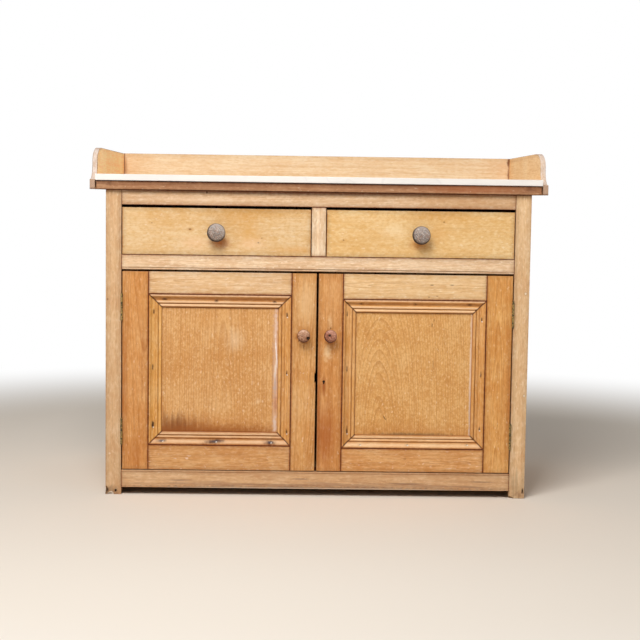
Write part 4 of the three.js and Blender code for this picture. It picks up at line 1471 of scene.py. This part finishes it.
@dataclass
class Top:
    """The top board, the marble slab and the gallery round it."""

    shop: Workshop

    def build(self) -> None:
        """Build the pieces of the top."""
        for board in (
            Board("top_board", STRIP_PINE, "pine_frame", arris=1.4, shortest=4.0),
            Board("gallery_back", TOP_PINE, "pine_frame", Sawn(12, 8, 0.02), arris=1.6,
                  gain=(0.97, 1.03, 1.1)),
            Board("gallery_left_end", TOP_PINE, "pine_frame", Sawn(40, 30, 0.02), arris=2.0,
                  shortest=1.5, gain=(1.5, 1.4, 1.1), edge_gain=(0.8, 0.95, 1.4),
                  arris_gain=(0.42, 0.38, 0.4)),
            Board("gallery_right_end", TOP_PINE, "pine_frame", Sawn(45, -25, -0.02), arris=2.0,
                  shortest=1.5, gain=(1.07, 1.01, 0.87), edge_gain=(0.92, 1.08, 1.55),
                  arris_gain=(0.5, 0.46, 0.46)),
        ):
            board.build(self.shop)
        slab = self.shop.worn("marble_slab", arris=0.8, joint=0.5, shortest=5.0)
        self.shop.fit("marble_slab_honed", slab, "cabinet", MARBLE, "marble", ["marble_slab"])


# A knob's head from the wood outwards, as shares of its radius and of its length
DRAWER_KNOB_HEAD = (
    (0.46, 0), (0.46, 0.06), (0.36, 0.14), (0.33, 0.3), (0.4, 0.44), (0.74, 0.55), (0.95, 0.62),
    (1, 0.68), (1, 0.73), (0.96, 0.79), (0.84, 0.87), (0.62, 0.94), (0.34, 0.985), (0, 1),
)
DOOR_KNOB_HEAD = (
    (0.62, 0), (0.62, 0.06), (0.48, 0.12), (0.42, 0.26), (0.46, 0.38), (0.7, 0.46), (0.93, 0.56),
    (1, 0.67), (0.97, 0.78), (0.85, 0.88), (0.64, 0.95), (0.36, 0.985), (0, 1),
)


@dataclass
class Knob:
    """A turned knob with its shank, shank millimetres wide, through the wood.

    A dent has its place across and up from the knob's middle, its radius and its depth. The
    head stands seat off the wood, and old wood has shrunk it across by up to twice oval.
    """

    node: str
    finish: Turned
    slot: str
    head: Sequence[Pair]
    shank: float
    dents: Sequence[tuple[float, float, float, float]] = ()
    sides: int = 96
    seat: float = 0.3
    oval: float = 0.006

    def build(self, shop: Workshop) -> Object:
        """Turn the knob and dress it.

        Args:
            shop: The workshop.

        Returns:
            The knob's object.
        """
        low, high = shop.boxes[self.node]
        centre_x, centre_z = (low.x + high.x) / 2, (low.z + high.z) / 2
        radius = (high.x - low.x) / 2
        length = FACE * MM - low.y
        back = high.y - FACE * MM
        # The shank goes on through the wood nearly to the underside of the head
        profile = [(0.0, -back), (self.shank / 2 * MM, -back), (self.shank / 2 * MM, 0.25 * MM)]
        profile += [(r * radius, self.seat * MM + l * (length - self.seat * MM))
                    for r, l in smooth_points(self.head, 6)]
        shape = bmesh.new()
        turned = shape.verts.layers.float_vector.new("turned")
        rings: list[list[Corner]] = []
        for r, out in profile:
            rings.append([])
            for i in range(1 if r < 1e-7 else self.sides):
                angle = 2 * math.pi * i / self.sides
                worn = 1.0
                if r > 0.6 * radius:
                    worn -= self.oval * (1 + math.sin(2 * angle + 1.0))
                across, up = r * worn * math.cos(angle), r * worn * math.sin(angle)
                sunk = out
                for dent_x, dent_z, reach, depth in self.dents:
                    near = math.hypot(across / MM - dent_x, up / MM - dent_z) / reach
                    if near < 1.0 and out > 0.5 * length:
                        sunk -= depth * MM * (1.0 - near * near) ** 0.5
                vert = shape.verts.new((centre_x + across, FACE * MM - sunk, centre_z + up))
                vert[turned] = (r / radius, across / radius, up / radius)
                rings[-1].append(vert)
        mesh = smoothed(as_mesh(bridged(shape, rings, False), self.node), 50)
        return shop.fit(self.node + "_turned", mesh, shop.bodies[self.node], self.finish,
                        self.slot, [self.node])


@dataclass
class Drawer:
    """One drawer: a lipped front, two sides, a back, a bottom and a knob."""

    shop: Workshop
    side: str
    gain: Rgb
    knob: Turned
    front: Sawn = Sawn(70, 20, 0.01)
    shank: float = 15.0

    def build(self) -> None:
        """Build the drawer's boards, dovetails and knob."""
        name = f"{self.side}_drawer"
        Board(f"{name}_front", DRAWER_PINE, "pine_drawer", self.front, arris=1.3,
              gain=self.gain).build(self.shop)
        for hand in ("left", "right"):
            Board(f"{name}_{hand}_side", INSIDE_PINE, "pine_inside").build(self.shop)
            Dovetails(name, hand).build(self.shop)
        Board(f"{name}_bottom", INSIDE_PINE, "pine_inside", run=Way.X).build(self.shop)
        Board(f"{name}_back", INSIDE_PINE, "pine_inside").build(self.shop)
        Knob(f"{name}_knob", self.knob, "drawer_knob", DRAWER_KNOB_HEAD,
             self.shank).build(self.shop)


def node_group(name: str, sockets: Sequence[tuple[str, str]]) -> tuple[Tree, Any]:
    """Start a Geometry Nodes tree with named inputs and one geometry output.

    Args:
        name: The tree's name.
        sockets: The inputs' names and kinds, such as ("Width", "Float").

    Returns:
        The tree and its inputs' sockets by name.
    """
    tree = bpy.data.node_groups.new(name, "GeometryNodeTree")
    for label, kind in sockets:
        tree.interface.new_socket(label, in_out="INPUT", socket_type="NodeSocket" + kind)
    tree.interface.new_socket("Geometry", in_out="OUTPUT", socket_type="NodeSocketGeometry")
    return tree, add(tree, "NodeGroupInput").outputs


def set_out(tree: Tree, finish: Socket, inputs: dict[str, Any]) -> Tree:
    """End a Geometry Nodes tree by setting instances out, as real and dressed geometry.

    Args:
        tree: The tree.
        finish: Its input for the material.
        inputs: What is set out where, as Instance on Points takes it.

    Returns:
        The same tree.
    """
    placed = add(tree, "GeometryNodeInstanceOnPoints", inputs)
    real = add(tree, "GeometryNodeRealizeInstances", {0: placed})
    dressed = add(tree, "GeometryNodeSetMaterial", {"Geometry": real, "Material": finish})
    add(tree, "NodeGroupOutput", {0: dressed})
    return tree


def grown(name: str, tree: Tree, start: Mesh, values: dict[str, Any]) -> Mesh:
    """Run a Geometry Nodes tree on a mesh and give the result as a plain mesh.

    Args:
        name: The result's name.
        tree: The tree.
        start: The mesh that the tree starts from.
        values: The tree's inputs by name.

    Returns:
        The finished mesh.
    """
    blank = linked(name + "_seed", start)
    grow = blank.modifiers.new("grow", "NODES")
    grow.node_group = tree
    for item in tree.interface.items_tree:
        if item.in_out == "INPUT" and item.name in values:
            grow[item.identifier] = values[item.name]
    mesh = evaluated(blank)
    mesh.name = name
    return mesh


@dataclass
class Fixings:
    """Heads of nails or screws on one body, set out by a Geometry Nodes tree.

    Each spot is a place and the way that its head looks. width, rise and driver are a head's
    width, its height over the face and the width of its driver's slot, in millimetres.
    """

    name: str
    body: str
    slot: str
    finish: OldMetal
    spots: Sequence[tuple[Vector, Vector]]
    width: float
    rise: float
    driver: float = 0.0
    seed: int = 7

    def build(self, shop: Workshop) -> Object:
        """Set the heads out and dress them.

        Args:
            shop: The workshop.

        Returns:
            The object that holds all the heads.
        """
        start = bpy.data.meshes.new(self.name + "_spots")
        start.from_pydata([spot for spot, _ in self.spots], [], [])
        facing = start.attributes.new("facing", "FLOAT_VECTOR", "POINT")
        for item, (_, way) in zip(facing.data, self.spots):
            item.vector = way
        tree = bpy.data.node_groups.get("fixing_heads") or self.tree()
        mesh = grown(self.name, tree, start, {
            "Width": self.width, "Rise": self.rise, "Slot": self.driver, "Seed": self.seed,
            "Finish": shop.material(self.finish),
        })
        return shop.fit(self.name, smoothed(mesh, 40), self.body, self.finish, self.slot)

    @staticmethod
    def tree() -> Tree:
        """Build the tree: a low domed head, with a slot if it has one, on every spot.

        Returns:
            The tree.
        """
        tree, given = node_group("fixing_heads", (
            ("Spots", "Geometry"), ("Width", "Float"), ("Rise", "Float"), ("Slot", "Float"),
            ("Seed", "Int"), ("Finish", "Material"),
        ))
        half = add(tree, "Math", {0: given["Width"], 1: 0.5}, operation="MULTIPLY")
        size = add(tree, "CombineXYZ", {0: half, 1: half, 2: given["Rise"]})
        dome = add(tree, "GeometryNodeMeshUVSphere", {"Segments": 20, "Rings": 10, "Radius": 1.0})
        head = add(tree, "GeometryNodeTransform", {"Geometry": dome, "Scale": size})
        block = add(tree, "CombineXYZ", {0: given["Slot"], 1: given["Width"], 2: given["Rise"]})
        cube = add(tree, "GeometryNodeMeshCube", {"Size": block})
        lift = add(tree, "CombineXYZ", {2: given["Rise"]})
        raised = add(tree, "GeometryNodeTransform", {"Geometry": cube, "Translation": lift})
        slotted = add(tree, "GeometryNodeMeshBoolean", {"Mesh 1": head, "Mesh 2": raised},
                      operation="DIFFERENCE")
        driven = add(tree, "FunctionNodeCompare", {0: given["Slot"]}, data_type="FLOAT",
                     operation="GREATER_THAN")
        shape = add(tree, "GeometryNodeSwitch", {
            "Switch": driven, "False": head, "True": slotted,
        }, input_type="GEOMETRY")
        facing = add(tree, "GeometryNodeInputNamedAttribute", {"Name": "facing"},
                     data_type="FLOAT_VECTOR")
        turned = add(tree, "FunctionNodeAlignRotationToVector", {"Vector": facing}, axis="Z")
        chance = add(tree, "FunctionNodeRandomValue", {
            2: 0.0, 3: math.tau, "Seed": given["Seed"],
        }, data_type="FLOAT").outputs[1]
        angle = add(tree, "CombineXYZ", {2: chance})
        spin = add(tree, "FunctionNodeEulerToRotation", {0: angle})
        spun = add(tree, "FunctionNodeRotateRotation", {0: turned, 1: spin},
                   rotation_space="LOCAL")
        return set_out(tree, given["Finish"], {
            "Points": given["Spots"], "Instance": shape, "Rotation": spun, "Scale": (MM, MM, MM),
        })


@dataclass
class Dovetails:
    """The pins of a drawer front's dovetails, whose end grain shows on a drawer side.

    Lengths are in millimetres: the pins' length, their narrow and wide ends, how deep they
    start in the side, and how far they stand proud of it, since its wood has shrunk.
    """

    drawer: str
    hand: str
    count: int = 4
    length: float = 13.0
    narrow: float = 5.0
    wide: float = 12.0
    sunk: float = 0.3
    proud: float = 0.1

    def build(self, shop: Workshop) -> Object:
        """Set the pins out on the drawer side and dress them.

        Args:
            shop: The workshop.

        Returns:
            The object that holds all the pins.
        """
        low, high = shop.boxes[f"{self.drawer}_{self.hand}_side"]
        facing, face = (-1.0, low.x) if self.hand == "left" else (1.0, high.x)
        pitch = (high.z - low.z) / self.count
        start = Vector((face - facing * self.sunk * MM, low.y + 0.5 * self.length * MM,
                        low.z + 0.5 * pitch))
        tree = bpy.data.node_groups.get("dovetail_pins") or self.tree()
        name = f"{self.drawer}_{self.hand}_dovetails"
        mesh = grown(name, tree, bpy.data.meshes.new(name + "_start"), {
            "Start": start, "Pitch": pitch, "Count": self.count, "Length": self.length * MM,
            "Narrow End": self.narrow * MM, "Wide End": self.wide * MM,
            "Thickness": (self.sunk + self.proud) * MM, "Facing": facing,
            "Finish": shop.material(PIN_PINE),
        })
        lay_grain(mesh, Sawn(30, 12), Way.Y, Way.X, (low, high), [(False, False)] * 3,
                  seed=3.1)
        return shop.fit(name, mesh, self.drawer, PIN_PINE, "pine_drawer")

    @staticmethod
    def tree() -> Tree:
        """Build the tree: a row of closed wedges that lie in the YZ plane.

        Returns:
            The tree.
        """
        tree, given = node_group("dovetail_pins", (
            ("Geometry", "Geometry"), ("Start", "Vector"), ("Pitch", "Float"), ("Count", "Int"),
            ("Length", "Float"), ("Narrow End", "Float"), ("Wide End", "Float"),
            ("Thickness", "Float"), ("Facing", "Float"), ("Finish", "Material"),
        ))
        step = add(tree, "CombineXYZ", {2: given["Pitch"]})
        line = add(tree, "GeometryNodeMeshLine", {
            "Count": given["Count"], "Start Location": given["Start"], "Offset": step,
        }, mode="OFFSET")
        outline = add(tree, "GeometryNodeCurvePrimitiveQuadrilateral", {
            "Offset": 0.0, "Height": given["Length"], "Bottom Width": given["Narrow End"],
            "Top Width": given["Wide End"],
        }, mode="TRAPEZOID")
        filled = add(tree, "GeometryNodeFillCurve", {0: outline})
        raised = add(tree, "GeometryNodeExtrudeMesh", {
            "Mesh": filled, "Offset Scale": given["Thickness"],
        })
        under = add(tree, "GeometryNodeFlipFaces", {0: filled})
        both = add(tree, "GeometryNodeJoinGeometry", {0: raised})
        tree.links.new(under.outputs[0], both.inputs[0])
        closed = add(tree, "GeometryNodeMergeByDistance", {
            "Geometry": both, "Distance": 0.001 * MM,
        })
        quarter = add(tree, "Math", {0: given["Facing"], 1: math.pi / 2}, operation="MULTIPLY")
        angle = add(tree, "CombineXYZ", {1: quarter})
        return set_out(tree, given["Finish"],
                       {"Points": line, "Instance": closed, "Rotation": angle})


# The moulding's outline from the frame inwards, as shares of its width and of its height
MOULDING_SECTION = (
    (0, 0), (0, 0.93), (0.02, 1), (0.145, 1), (0.167, 0.95), (0.185, 0.8), (0.22, 0.63),
    (0.27, 0.48), (0.335, 0.38), (0.415, 0.32), (0.48, 0.3), (0.49, 0.4), (0.53, 0.46),
    (0.585, 0.48), (0.64, 0.46), (0.69, 0.39), (0.7, 0.22), (0.73, 0.22), (0.74, 0.37),
    (0.77, 0.46), (0.83, 0.51), (0.89, 0.49), (0.94, 0.41), (0.975, 0.27), (0.985, 0.12), (1, 0),
)


@dataclass
class Door:
    """One door: stiles and rails round a sunk panel, with a mitred moulding and a knob.

    In millimetres, the panel lies setback behind the face, and the moulding stands proud of it,
    is width wide, leaves a gap at its sides, and has a row of corners at every step.
    """

    shop: Workshop
    side: str
    panel: Sawn
    knob: Turned
    dents: Sequence[tuple[float, float, float, float]]
    gains: dict[str, Rgb]
    section: Sequence[Pair] = MOULDING_SECTION
    setback: float = 11.0
    proud: float = 1.5
    width: float = 38.5
    gap: float = 0.3
    step: float = 9.0
    shank: float = 10.0

    def build(self) -> None:
        """Build the door's frame, panel, mouldings and knob."""
        name = f"{self.side}_door"
        for part, finish, slot, sawn, run in (
            ("hinge_stile", DOOR_PINE, "pine_door", None, None),
            ("lock_stile", DOOR_PINE, "pine_door", None, None),
            ("bottom_rail", DOOR_PINE, "pine_door", Sawn(13, 6, 0.05), None),
            ("top_rail", LIT_TOP_DOOR_PINE, "pine_door", Sawn(15, -5, -0.045), None),
            ("panel", PANEL_PINE, "pine_panel", self.panel, Way.Z),
        ):
            Board(f"{name}_{part}", finish, slot, sawn, run,
                  gain=self.gains.get(part, PLAIN)).build(self.shop)
        runs = {place: self.shop.boxes[f"{name}_{place}_moulding"]
                for place in ("bottom", "left", "top", "right")}
        for place, box in runs.items():
            self.build_moulding(place, *box)
        Knob(f"{name}_knob", self.knob, "door_knob", DOOR_KNOB_HEAD, self.shank,
             self.dents).build(self.shop)
        self.build_nails(runs)

    def build_nails(self, runs: dict[str, tuple[Vector, Vector]]) -> None:
        """Set the moulding's nails where they show, each on the face of its run.

        Args:
            runs: The box of each run.
        """
        spots = []
        for x, z in NAILS:
            if (x < 0) != (self.side == "left"):
                continue
            across = min(x - runs["left"][0].x / MM, runs["right"][1].x / MM - x,
                         z - runs["bottom"][0].z / MM, runs["top"][1].z / MM - z) / self.width
            rise = next(low[1] + (high[1] - low[1]) * (across - low[0]) / (high[0] - low[0])
                        for low, high in zip(self.section, self.section[1:])
                        if low[0] < high[0] and across <= high[0])
            y = FACE + self.setback - rise * (self.setback + self.proud)
            spots.append((Vector((x, y, z)) * MM, Vector((0.0, -1.0, 0.0))))
        Fixings(f"{self.side}_door_nails", f"{self.side}_door", "lock_iron", NAIL_IRON, spots,
                width=2.6, rise=0.3).build(self.shop)

    def build_moulding(self, place: str, low: Vector, high: Vector) -> Object:
        """Build one mitred run of the moulding with a finer section and a rubbed surface.

        Args:
            place: Which side of the panel the run lies along.
            low: The run's lowest corner.
            high: Its highest corner.

        Returns:
            The run's object.
        """
        node = f"{self.side}_door_{place}_moulding"
        luck = zlib.crc32(node.encode()) % 89
        length = max(high.x - low.x, high.z - low.z) / MM + 4 * self.gap
        level = place in ("bottom", "top")
        inward = 1.0 if place in ("bottom", "left") else -1.0
        outer = {"bottom": low.z, "left": low.x, "top": high.z, "right": high.x}[place]
        outer -= inward * self.gap * MM
        start = (low.x if level else low.z) - 2 * self.gap * MM
        # The hollow beside the frame has points enough, and the small beads get twice as many
        fine = smooth_points(self.section[:10], 1) + smooth_points(self.section[10:], 2)
        steps = max(24, int(length / self.step))
        shape = bmesh.new()
        share, mitre = (shape.verts.layers.float.new(name) for name in ("across", "mitre"))
        rows: list[list[Corner]] = []
        for t in range(steps + 1):
            rows.append([])
            for across, rise in fine:
                w = self.gap + across * (self.width - self.gap)
                along = w + self.gap + (length - 2 * w - 2 * self.gap) * t / steps
                depth = FACE + self.setback - rise * (self.setback + self.proud)
                # Hands and cloths have rubbed the run unevenly, by up to a quarter millimetre
                if 0 < across < 1 and rise > 0.15 and 0 < t < steps:
                    spot = Vector((along * 0.02, w * 0.35, luck))
                    depth += 0.14 * abs(noise.noise(spot)) + 0.1 * abs(noise.noise(spot * 4.0))
                run, side = start + along * MM, outer + inward * w * MM
                vert = shape.verts.new((run, depth * MM, side) if level else
                                       (side, depth * MM, run))
                vert[share] = across
                vert[mitre] = (length - 2 * w) * min(t, steps - t) / steps * 0.7 * MM
                rows[-1].append(vert)
        mesh = smoothed(as_mesh(bridged(shape, rows, True), node), 34)
        met = [(False, False)] * 3
        met[(Way.Z if level else Way.X).value] = (inward > 0, inward < 0)
        lay_grain(mesh, Sawn.by_chance(node), Way.X if level else Way.Z, Way.Y, (low, high), met,
                  log_start(node), self.gains.get(place + "_moulding", PLAIN))
        finish = {"top": TOP_MOULDING_PINE, "bottom": BOTTOM_MOULDING_PINE}.get(
            place, MOULDING_PINE)
        return self.shop.fit(node + "_run", mesh, self.shop.bodies[node], finish,
                             "pine_moulding", [node])


@dataclass
class Metalwork:
    """The hinges, the lock with its bolt, and the screws and back nails.

    Screws stand in the frame leaves and the door leaves leaf_sides from the middle, leaf_depth
    behind the face and leaf_pitch apart, and in the lock's case lock_inset from its edges. Back
    nails stand nail_insets below the top and above the bottom edge and in the middle, at
    nail_shares of a board's width, and astray by up to nail_stray across and upwards. All but
    the shares are in millimetres.
    """

    shop: Workshop
    boards: int = BACK_BOARDS
    leaf_sides: Pair = (556.25, 555.75)
    leaf_depth: float = 11.5
    leaf_pitch: float = 27.0
    lock_inset: float = 6.0
    nail_insets: Pair = (16.0, 26.0)
    nail_shares: Pair = (0.76, 0.24)
    nail_stray: Pair = (4.0, 5.0)
    nail_seed: int = 19

    def build(self) -> None:
        """Build every metal piece."""
        for node in frame["nodes"]:
            if "hinge_frame_leaf" in node or "hinge_door_leaf" in node:
                self.build_metal(node, BRASS, "hinge_brass", 0.25)
        self.build_metal("lock_case", IRON, "lock_iron", 0.6)
        self.build_metal("lock_bolt", IRON, "lock_iron", 0.5)
        self.build_screws()
        self.build_back_nails()

    def build_metal(self, node: str, finish: OldMetal, slot: str, arris: float) -> None:
        """Copy a metal node with its arrises rounded and its round parts smooth.

        Args:
            node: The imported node.
            finish: Its finish.
            slot: Its slot in the record.
            arris: The width of the rounding in millimetres.
        """
        mesh = smoothed(self.shop.worn(node, arris, arris, 2.0, stretch=400.0), 32)
        self.shop.fit(node + "_metal", mesh, self.shop.bodies[node], finish, slot, [node])

    def build_screws(self) -> None:
        """Set slotted screws in the hinge leaves and the lock case."""
        for side, sign in (("left", -1.0), ("right", 1.0)):
            for body, leaf, x, look in (
                ("cabinet", "frame", self.leaf_sides[0], -sign),
                (f"{side}_door", "door", self.leaf_sides[1], sign),
            ):
                spots = []
                for level in ("upper", "lower"):
                    low, high = self.shop.boxes[f"{side}_door_{level}_hinge_{leaf}_leaf"]
                    spots += [(Vector((sign * x * MM, (FACE + self.leaf_depth) * MM,
                                       (low.z + high.z) / 2 + step * self.leaf_pitch * MM)),
                               Vector((look, 0.0, 0.0))) for step in (-1, 0, 1)]
                Fixings(f"{side}_{leaf}_leaf_screws", body, "hinge_brass", BRASS, spots,
                        width=6.2, rise=0.14, driver=0.9, seed=3).build(self.shop)
        low, high = self.shop.boxes["lock_case"]
        inset = self.lock_inset * MM
        spots = [(Vector((x, high.y, z)), Vector((0.0, 1.0, 0.0)))
                 for x in (low.x + inset, high.x - inset) for z in (low.z + inset, high.z - inset)]
        Fixings("lock_screws", "right_door", "lock_iron", IRON, spots, width=5.5, rise=0.8,
                driver=0.8, seed=5).build(self.shop)

    def build_back_nails(self) -> None:
        """Nail the back boards on in three rows, two nails to a board in each."""
        low, high = self.shop.boxes["back_boards"]
        pitch = (high.x - low.x) / self.boards
        upper, lower = self.nail_insets
        luck = random.Random(self.nail_seed)
        spots = []
        for z in (low.z + lower * MM, (low.z + high.z) / 2, high.z - upper * MM):
            for number in range(2 * self.boards):
                x = low.x + (number // 2 + self.nail_shares[number % 2]) * pitch
                aside, above = (luck.uniform(-stray, stray) * MM for stray in self.nail_stray)
                spots.append((Vector((x + aside, high.y, z + above)), Vector((0.0, 1.0, 0.0))))
        Fixings("back_nails", "cabinet", "lock_iron", NAIL_IRON, spots, width=4.2,
                rise=0.5).build(self.shop)


def seen_directly(tree: Tree) -> Feed:
    """Tell the rays that see a surface from those that only light another.

    Args:
        tree: The material's or world's tree.

    Returns:
        1 for rays from the camera, a gloss or a glass, and otherwise 0.
    """
    path = add(tree, "LightPath").outputs
    most: Feed = path["Is Camera Ray"]
    for kind in ("Is Glossy Ray", "Is Transmission Ray"):
        most = add(tree, "Math", {0: most, 1: path[kind]}, operation="MAXIMUM")
    return most


@dataclass
class Studio:
    """The plain pale floor, the soft lights and the camera.

    The camera stands at place, turned right by turn, down by pitch and over by roll, in
    radians. The floor goes from its own colour to white between the distances of fade.
    """

    place: Vector = field(default_factory=lambda: Vector((-0.0561, -4.3677, 0.8571)))
    pitch: float = 0.0858
    turn: float = 0.0155
    roll: float = 0.0141
    lens: float = 80.4375
    floor_reach: float = 14.0
    floor_level: float = -0.0003
    fade: Pair = (1.5, 3.0)
    sky: float = 0.22

    def build(self) -> None:
        """Build the camera, the floor, the lights and the sky."""
        self.build_camera()
        self.build_floor()
        self.build_lights()
        self.build_sky()
        bpy.context.scene.view_settings.view_transform = "Standard"

    def build_camera(self) -> None:
        """Set the camera where the photograph was taken from."""
        data = bpy.data.cameras.new("camera")
        data.sensor_width = 36.0
        data.lens = self.lens
        data.clip_end = 60.0
        ahead = Vector((math.cos(self.pitch) * math.sin(self.turn),
                        math.cos(self.pitch) * math.cos(self.turn), -math.sin(self.pitch)))
        level = Vector((math.cos(self.turn), -math.sin(self.turn), 0.0))
        upward = level.cross(ahead)
        right = math.cos(self.roll) * level + math.sin(self.roll) * upward
        top = math.cos(self.roll) * upward - math.sin(self.roll) * level
        camera = linked("camera", data)
        camera.matrix_world = (Matrix.Translation(self.place)
                               @ Matrix((right, top, -ahead)).transposed().to_4x4())
        bpy.context.scene.camera = camera

    def build_floor(self) -> None:
        """Make a plain pale floor that keeps the shadow and turns white far away."""
        shape = bmesh.new()
        shape.faces.new([shape.verts.new((x * self.floor_reach, y * self.floor_reach,
                                          self.floor_level))
                         for x, y in ((-1, -1), (1, -1), (1, 1), (-1, 1))])
        mesh = as_mesh(shape, "floor")
        material, tree, place = blank_material("pale_floor")
        away = add(tree, "VectorMath", {0: place}, operation="LENGTH").outputs["Value"]
        wall = add(tree, "MapRange", {
            "Value": away, "From Min": self.fade[0], "From Max": self.fade[1],
        }, interpolation_type="SMOOTHSTEP")
        bright = add(tree, "Math", {0: wall, 1: seen_directly(tree)}, operation="MULTIPLY")
        matt = add(tree, "BsdfDiffuse", {"Color": linear("e9dfd2")})
        glow = add(tree, "Emission", {"Color": linear("ffffff"), "Strength": 1.0})
        shader = add(tree, "MixShader", {0: bright, 1: matt, 2: glow})
        add(tree, "OutputMaterial", {"Surface": shader})
        mesh.materials.append(material)
        linked("floor", mesh)

    def build_lights(self) -> None:
        """Set large soft lamps round the cabinet, their sizes in metres and powers in watts."""
        for name, place, aim, size, power in (
            ("key_lamp", (-0.7, -2.38, 3.1), (0.0, -0.28, 0.5), 1.5, 96.0),
            ("fill_lamp", (2.8, -3.48, 2.3), (0.0, -0.28, 0.5), 2.0, 15.0),
            ("side_lamp", (-3.0, -2.68, 2.2), (0.0, -0.28, 0.5), 2.0, 17.5),
            ("back_lamp", (0.2, 2.08, 3.0), (0.0, 0.28, 0.8), 2.0, 16.0),
        ):
            data = bpy.data.lights.new(name, "AREA")
            data.shape = "SQUARE"
            data.size = size
            data.energy = power
            look = (Vector(aim) - Vector(place)).to_track_quat("-Z", "Y")
            linked(name, data).matrix_world = (Matrix.Translation(place)
                                               @ look.to_matrix().to_4x4())

    def build_sky(self) -> None:
        """Light the scene evenly from a dim sky that looks white."""
        world = bpy.data.worlds.new("sky")
        bpy.context.scene.world = world
        world.use_nodes = True
        tree = world.node_tree
        tree.nodes.clear()
        strength = add(tree, "MapRange", {
            "Value": seen_directly(tree), "To Min": self.sky, "To Max": 1.0,
        })
        back = add(tree, "Background", {"Color": linear("ffffff"), "Strength": strength})
        add(tree, "OutputWorld", {"Surface": back})


def main() -> None:
    """Build the studio and then each sub-assembly of the cabinet."""
    logging.basicConfig(level=logging.INFO, format="%(name)s %(message)s")
    Studio().build()
    shop = Workshop()
    Carcass(shop).build()
    Top(shop).build()
    Drawer(shop, "left", (0.92, 0.96, 1.08), DRAWER_KNOB).build()
    Drawer(shop, "right", (0.99, 1.03, 1.07), RIGHT_DRAWER_KNOB).build()
    Door(shop, "left", Sawn(38, -10, 0.03), DOOR_KNOB, ((12.2, -5.8, 5.0, 8.0),), {
        "lock_stile": (1.06, 1.18, 1.3), "bottom_rail": (1.03, 1.18, 1.48),
        "top_rail": (1.03, 1.12, 1.28), "left_moulding": (1.06, 1.1, 1.0),
    }).build()
    Door(shop, "right", Sawn(42, 97, 0.2), RIGHT_DOOR_KNOB, ((-2.6, 2.8, 3.8, 4.5),), {
        "hinge_stile": (1.12, 1.2, 1.14), "bottom_rail": (1.1, 1.24, 1.5),
        "panel": (1.05, 1.07, 1.0), "top_rail": (1.06, 1.14, 1.2),
        "top_moulding": (1.16, 1.18, 1.12), "bottom_moulding": (1.22, 1.3, 1.31),
    }).build()
    Metalwork(shop).build()


if __name__ == "__main__":
    main()
